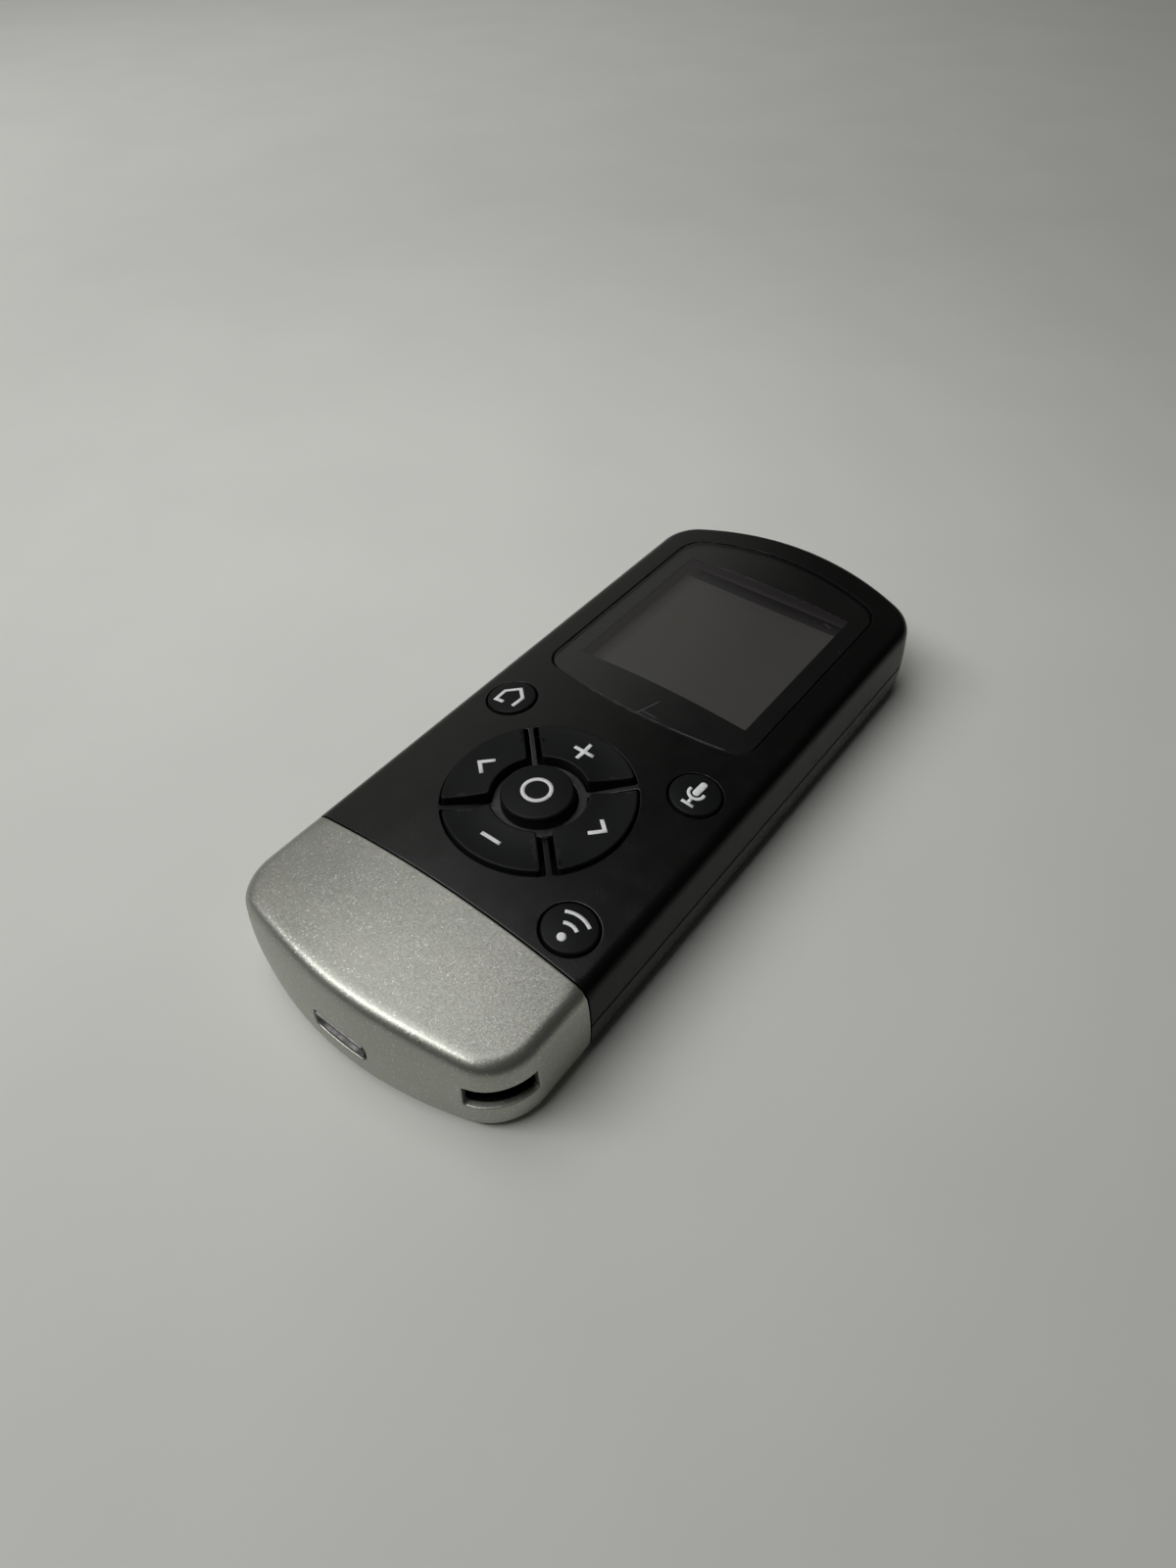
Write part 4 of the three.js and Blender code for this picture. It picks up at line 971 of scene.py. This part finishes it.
def film(loops, top):
    """A thin film over a plan: the filled plan at the key's top and again just below it, with
    strips between the two round every loop."""
    def both(plan):
        """The film's upper and lower points over a plan."""
        z = top(plan) + ink_lift
        return level(plan, z), level(plan, z - ink_thick)
    plan, faces = fill(loops, spacing=0.5)
    upper, lower = both(plan)
    return [(upper, faces), (lower, faces[:, ::-1]), *(strips(both(loop)) for loop in loops)]


def stroke(path, width=stroke_width):
    """The outline of a line of even width: every point moved both ways along the mitre, which is
    the mean of its two segments' normals, made longer by the bend. The ends are cut square."""
    path = np.array(path, float)
    run = np.diff(path, axis=0)
    normal = np.stack([-run[:, 1], run[:, 0]], 1) / np.linalg.norm(run, axis=1)[:, None]
    before, after = np.concatenate([normal[:1], normal]), np.concatenate([normal, normal[-1:]])
    mitre = before + after
    mitre *= width / 2 / (mitre * after).sum(1)[:, None]
    return np.concatenate([path + mitre, (path - mitre)[::-1]])


def arc(centre, radius, start, end, count=24):
    """Points along an arc, its angles in degrees."""
    return np.array(centre) + radius * ray(np.radians(np.linspace(start, end, count)))


arm, thin = 1.45, 0.25
cross = [(arm, thin), (thin, thin), (thin, arm)]
cross = np.array(cross + [(-x, y) for x, y in cross[::-1]])
plus = np.concatenate([cross, (cross * (1, -1))[::-1]]) + (0, 8.55)
capsule = np.concatenate([arc((0.09, 1.65), 0.45, 0, 180, count=16),
                          arc((0.05, 0.05), 0.45, 180, 360, count=16)])
house = [(-0.15, -1.5), (-1.45, -1.5), (-1.45, 0.38), (0.08, 1.74), (1.55, 0.38), (1.4, -1.5)]
dot = (0.07, -1.5)
symbols = {
    "plus": [[plus]],
    "minus": [[stroke([(-1.4, -8.6), (1.4, -8.6)])]],
    "left": [[stroke([(-7.85, 1.15), (-9.3, -0.2), (-7.8, -1.5)])]],
    "right": [[stroke([(8.25, 1.3), (9.55, 0.2), (8.2, -1.27)])]],
    "select": [[circle(1.95)[0], circle(1.45)[0]]],
    "home": [[stroke(house)]],
    "microphone": [[capsule], [stroke(arc((0.07, 0.1), 0.95, 162, 378), width=0.42)],
                   [stroke([(0.07, -1.04), (0.07, -1.69)], width=0.42)],
                   [stroke([(-0.75, -1.88), (0.9, -1.88)], width=0.42)]],
    "streaming": [[circle(0.52, dot, count=32)[0]], [stroke(arc(dot, 1.75, 58, 122), width=0.45)],
                  [stroke(arc(dot, 3.2, 58, 122), width=0.45)]],
}
for name, shapes in symbols.items():
    centre = key_at.get(name, ring_centre)
    meshes = [mesh for loops in shapes for mesh in film([l + centre for l in loops], key_top[name])]
    piece("symbol_" + name, meshes, body="press_" + name, material=white_ink)

# ---- Display module: a glass panel in a dark tray over its light guide, with a flex down to the
# board. The panel's picture area is a shade lighter than the border round it. These pieces and the
# window's tape keep their plain shapes and only get their finishes here.
def display_glass():
    """Switched-off display: a dark grey field, darker outside its picture area, under a satin
    film. A faint painted glow along its left edge lifts the shadow that the window's border casts
    there."""
    f = Finish("display_glass")
    where = f.place()
    x, y = f.across(where)
    half, low, high, blur = 13.0, 11.4, 36.1, 0.05
    frame_part = f.node("Clamp", {0: abs(x).ramp(half - blur, half + blur)
                                  + y.ramp(high - blur, high + blur)
                                  + y.ramp(low - blur, low + blur, 1, 0)})
    drift = f.noise(where, 0.06, 3)
    field = f.mix(drift.ramp(0.3, 0.7), (0.058, 0.056, 0.052, 1), (0.063, 0.061, 0.0565, 1))
    base = f.mix(frame_part, field, (0.024, 0.0215, 0.0225, 1))
    rough = 0.45 + (f.noise(where, 6, 3) - 0.5) * 0.15
    # Painted light: an emission that lifts the border's shadow on the field's left edge.
    painted_edge_glow = f.mix(x.ramp(-13.2, -11.2, 1, 0), (0, 0, 0, 1), (0.0150, 0.0130, 0.0125, 1))
    return f.surface(f.node("BsdfPrincipled", {
        "Base Color": base, "Roughness": rough, "Specular IOR Level": 0.3,
        "Normal": f.bump(f.noise(where, 12, 2), 0.002), "Emission Color": painted_edge_glow,
        "Emission Strength": 1.0}))


def dress(material, *nodes):
    """Puts a finish on CAD nodes in place of their plain colours."""
    for node in nodes:
        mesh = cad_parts[node].data
        mesh.materials.clear()
        mesh.materials.append(material)


dress(display_glass(), "lcd_panel")
# Painted light: a faint glow on the tray and the gasket, which lie in the shade under the window.
painted_glow_under_glass = (0.0140, 0.0117, 0.0127, 1)
dress(moulded("tray_plastic", grey(0.02), grey(0.025), roughness=0.5, grain=4, depth=0.01,
              glow=painted_glow_under_glass), "lcd_frame")
dress(moulded("light_guide", (0.75, 0.75, 0.72, 1), (0.7, 0.7, 0.66, 1), roughness=0.3, grain=3,
              depth=0.004), "lcd_backlight")
dress(moulded("polyimide", (0.36, 0.13, 0.03, 1), (0.28, 0.09, 0.02, 1), roughness=0.35, grain=3,
              depth=0.004), "lcd_flex")
dress(moulded("black_tape", grey(0.008), grey(0.011), roughness=0.85, grain=2.5, depth=0.03),
      "window_adhesive")

# ---- Display gasket: a strip of dark foam round the tray, under the ledge. It keeps dust off the
# display, and its top follows the crowned ledge.
gasket_inside, gasket_width, gasket_foot = 2.22, 0.85, 9.9
gasket, gasket_out = rounded_box(*(display_half + gasket_inside), corner=0.3, spacing=1.5)
gasket_rings = []
for grow, is_top in ((0, False), (0, True), (1, True), (1, False), (0, False)):
    plan = gasket + display_at + grow * gasket_width * gasket_out
    ledge_foot = crown(plan[:, 0]) - ledge_depth - ledge_thick
    gasket_rings.append(level(plan, ledge_foot if is_top else gasket_foot))
# The foam's glow is painted light, as on the tray.
grey_foam = moulded("grey_foam", grey(0.02), grey(0.025), roughness=0.85, grain=2.5, depth=0.03,
                    glow=painted_glow_under_glass)
piece("display_gasket", [strips(gasket_rings)], material=grey_foam)

# ---- Board and electronics: parts soldered to one green board, the keys' steel domes under a
# silicone mat, and the pouch battery on its foam pad below.
def solder_mask():
    """Green mask over copper: tracks are the steps of a stretched pattern, lighter than the
    ground and slightly raised."""
    f = Finish("solder_mask")
    where = f.place()
    stretched = f.node("VectorMath", {0: where, 1: (0.55, 1.4, 1)}, operation="MULTIPLY")
    steps = f.node("TexVoronoi", {"Vector": stretched, "Scale": 0.5}, distance="MANHATTAN") * 6.0
    copper = steps.maths("FRACT", steps).ramp(0.55, 0.62)
    via = f.node("TexVoronoi", {"Vector": where, "Scale": 0.45}).ramp(0.12, 0.14, 1, 0)
    base = f.mix(copper, (0.012, 0.07, 0.03, 1), (0.02, 0.11, 0.045, 1))
    base = f.mix(via, base, (0.45, 0.42, 0.33, 1))
    rough = 0.32 + (f.noise(where, 2, 3) - 0.5) * 0.2
    return f.surface(f.node("BsdfPrincipled", {
        "Base Color": base, "Roughness": rough, "Normal": f.bump(copper, 0.03)}))


dress(solder_mask(), "main_board")
dress(moulded("silicone_mat", grey(0.026, -0.02), grey(0.032), roughness=0.8, grain=3,
              depth=0.02), "keypad_mat")
dress(moulded("cream_plastic", (0.68, 0.63, 0.5, 1), (0.6, 0.54, 0.42, 1), roughness=0.45, grain=4,
              depth=0.006), "lcd_connector", "battery_connector")
dress(moulded("chip_epoxy", grey(0.012), grey(0.018), roughness=0.62, grain=7, depth=0.015),
      "processor_chip", "memory_chip", "radio_chip", "charger_chip", "usb_tongue")
dress(nickel, "crystal", "radio_shield")
dress(moulded("fired_ceramic", (0.7, 0.67, 0.58, 1), (0.62, 0.59, 0.5, 1), roughness=0.5, grain=5,
              depth=0.01), "antenna")
dress(metal("pouch_foil", (0.62, 0.63, 0.65, 1), roughness=0.35, grain=0.9, depth=0.08,
            tarnish=0.15), "battery_cell")
dress(moulded("pad_foam", grey(0.02), grey(0.028), roughness=0.95, grain=2.2, depth=0.08),
      "battery_pad")
dress(moulded("lead_red", (0.38, 0.015, 0.01, 1), (0.3, 0.01, 0.008, 1), roughness=0.45, grain=4,
              depth=0.008), "battery_lead_plus")
dress(moulded("lead_black", grey(0.011), grey(0.015), roughness=0.45, grain=4, depth=0.008),
      "battery_lead_minus")
dress(metal("screw_steel", grey(0.34), roughness=0.3, grain=3, depth=0.008, stretch=(1, 1, 0.3),
            tarnish=0.3),
      "case_screw_left", "case_screw_right", "neck_screw_left", "neck_screw_right")
dress(metal("dome_steel", grey(0.6, 0.02), roughness=0.22, grain=3, depth=0.004,
            stretch=(0.2, 1, 1)), *(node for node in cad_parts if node.startswith("dome_")))

# ---- Stage: pale card, plain and matt, two strip softboxes, and daylight from one side. The card's
# colour has a painted pool of light round the object and painted shade away from the daylight. Far
# from the object, the card and the room behind it are one even tone to the camera.
card_tint, backdrop_level = (0.99, 1.0, 0.945, 1), 0.42
card_size, light_pool_radius, daylight_reach = 3, 230, 575
light_pool_x, light_pool_y, daylight_x = -22, 25, -417
card = Finish("pale_card")
card_place = card.place()
card_x, card_y = card.across(card_place)
from_object = ((card_x - light_pool_x) ** 2.0 + (card_y - light_pool_y) ** 2.0) ** 0.5
# Painted light: the card's colour is lifted in a pool round the object.
painted_light_pool = from_object.ramp(0, light_pool_radius, 0.39, 0)
# Painted shade: the card's colour darkens away from the daylight.
painted_daylight_falloff = 1 + ((card_x - daylight_x) / daylight_reach) ** 2.0
grime = card.noise(card_place, 0.03, 4).ramp(0.3, 0.7, 0.97, 1.0)
card_base = card.mix(0.785 * (1 + painted_light_pool) * grime / painted_daylight_falloff, (0, 0, 0, 1), card_tint)
matt = card.node("BsdfPrincipled", {"Base Color": card_base, "Roughness": 0.6,
                                    "Specular IOR Level": 0.2})
even = card.node("Emission", {"Color": card_tint, "Strength": backdrop_level})
far_off = from_object.ramp(500, 1300) * card.node("LightPath", output="Is Camera Ray")
card_material = card.surface(card.node("MixShader", {0: far_off, 1: matt, 2: even}))
card_mesh = bpy.data.meshes.new("floor")
card_corners = [(card_size * x, card_size * y, 0) for x, y in ((-1, -1), (1, -1), (1, 1), (-1, 1))]
card_mesh.from_pydata(card_corners, [], [(0, 1, 2, 3)])
card_mesh.materials.append(card_material)
floor = bpy.data.objects.new("floor", card_mesh)
bpy.context.scene.collection.objects.link(floor)


def lamp(name, place, length, width, power):
    """A strip softbox facing the object, its length across the object's width. Its axes are the
    way from the object and two cross products."""
    light = bpy.data.objects.new(name, bpy.data.lights.new(name, "AREA"))
    light.data.shape, light.data.energy = "RECTANGLE", power
    light.data.size, light.data.size_y = length, width
    back = np.array(place) / np.linalg.norm(place)
    side = np.cross((0, 1, 0), back)
    side /= np.linalg.norm(side)
    turn = np.eye(4)
    turn[:3, :3] = np.stack([side, np.cross(back, side), back], 1)
    turn[:3, 3] = place
    light.matrix_world = Matrix(turn.tolist())
    bpy.context.scene.collection.objects.link(light)


lamp("softbox_front", place=(-0.34, -0.47, 0.81), length=0.85, width=0.18, power=5.0)
lamp("softbox_back", place=(-0.30, 0.02, 0.95), length=0.8, width=0.6, power=2.9)
room = Finish("studio", bpy.data.worlds.new("studio"))
toward = room.node("TexCoord", output="Generated")
window_side = room.node("VectorMath", {0: toward, 1: (-0.85, 0.35, 0.39)}, output="Value",
                        operation="DOT_PRODUCT")
daylight = 0.03 + window_side.ramp(0.72, 1.0, 0, 0.27)
seen = room.node("LightPath", output="Is Camera Ray")
bpy.context.scene.world = room.surface(room.node("Background", {
    "Color": card_tint, "Strength": daylight * (1 - seen) + seen * backdrop_level}),
    "OutputWorld")
bpy.context.scene.view_settings.view_transform = "Standard"
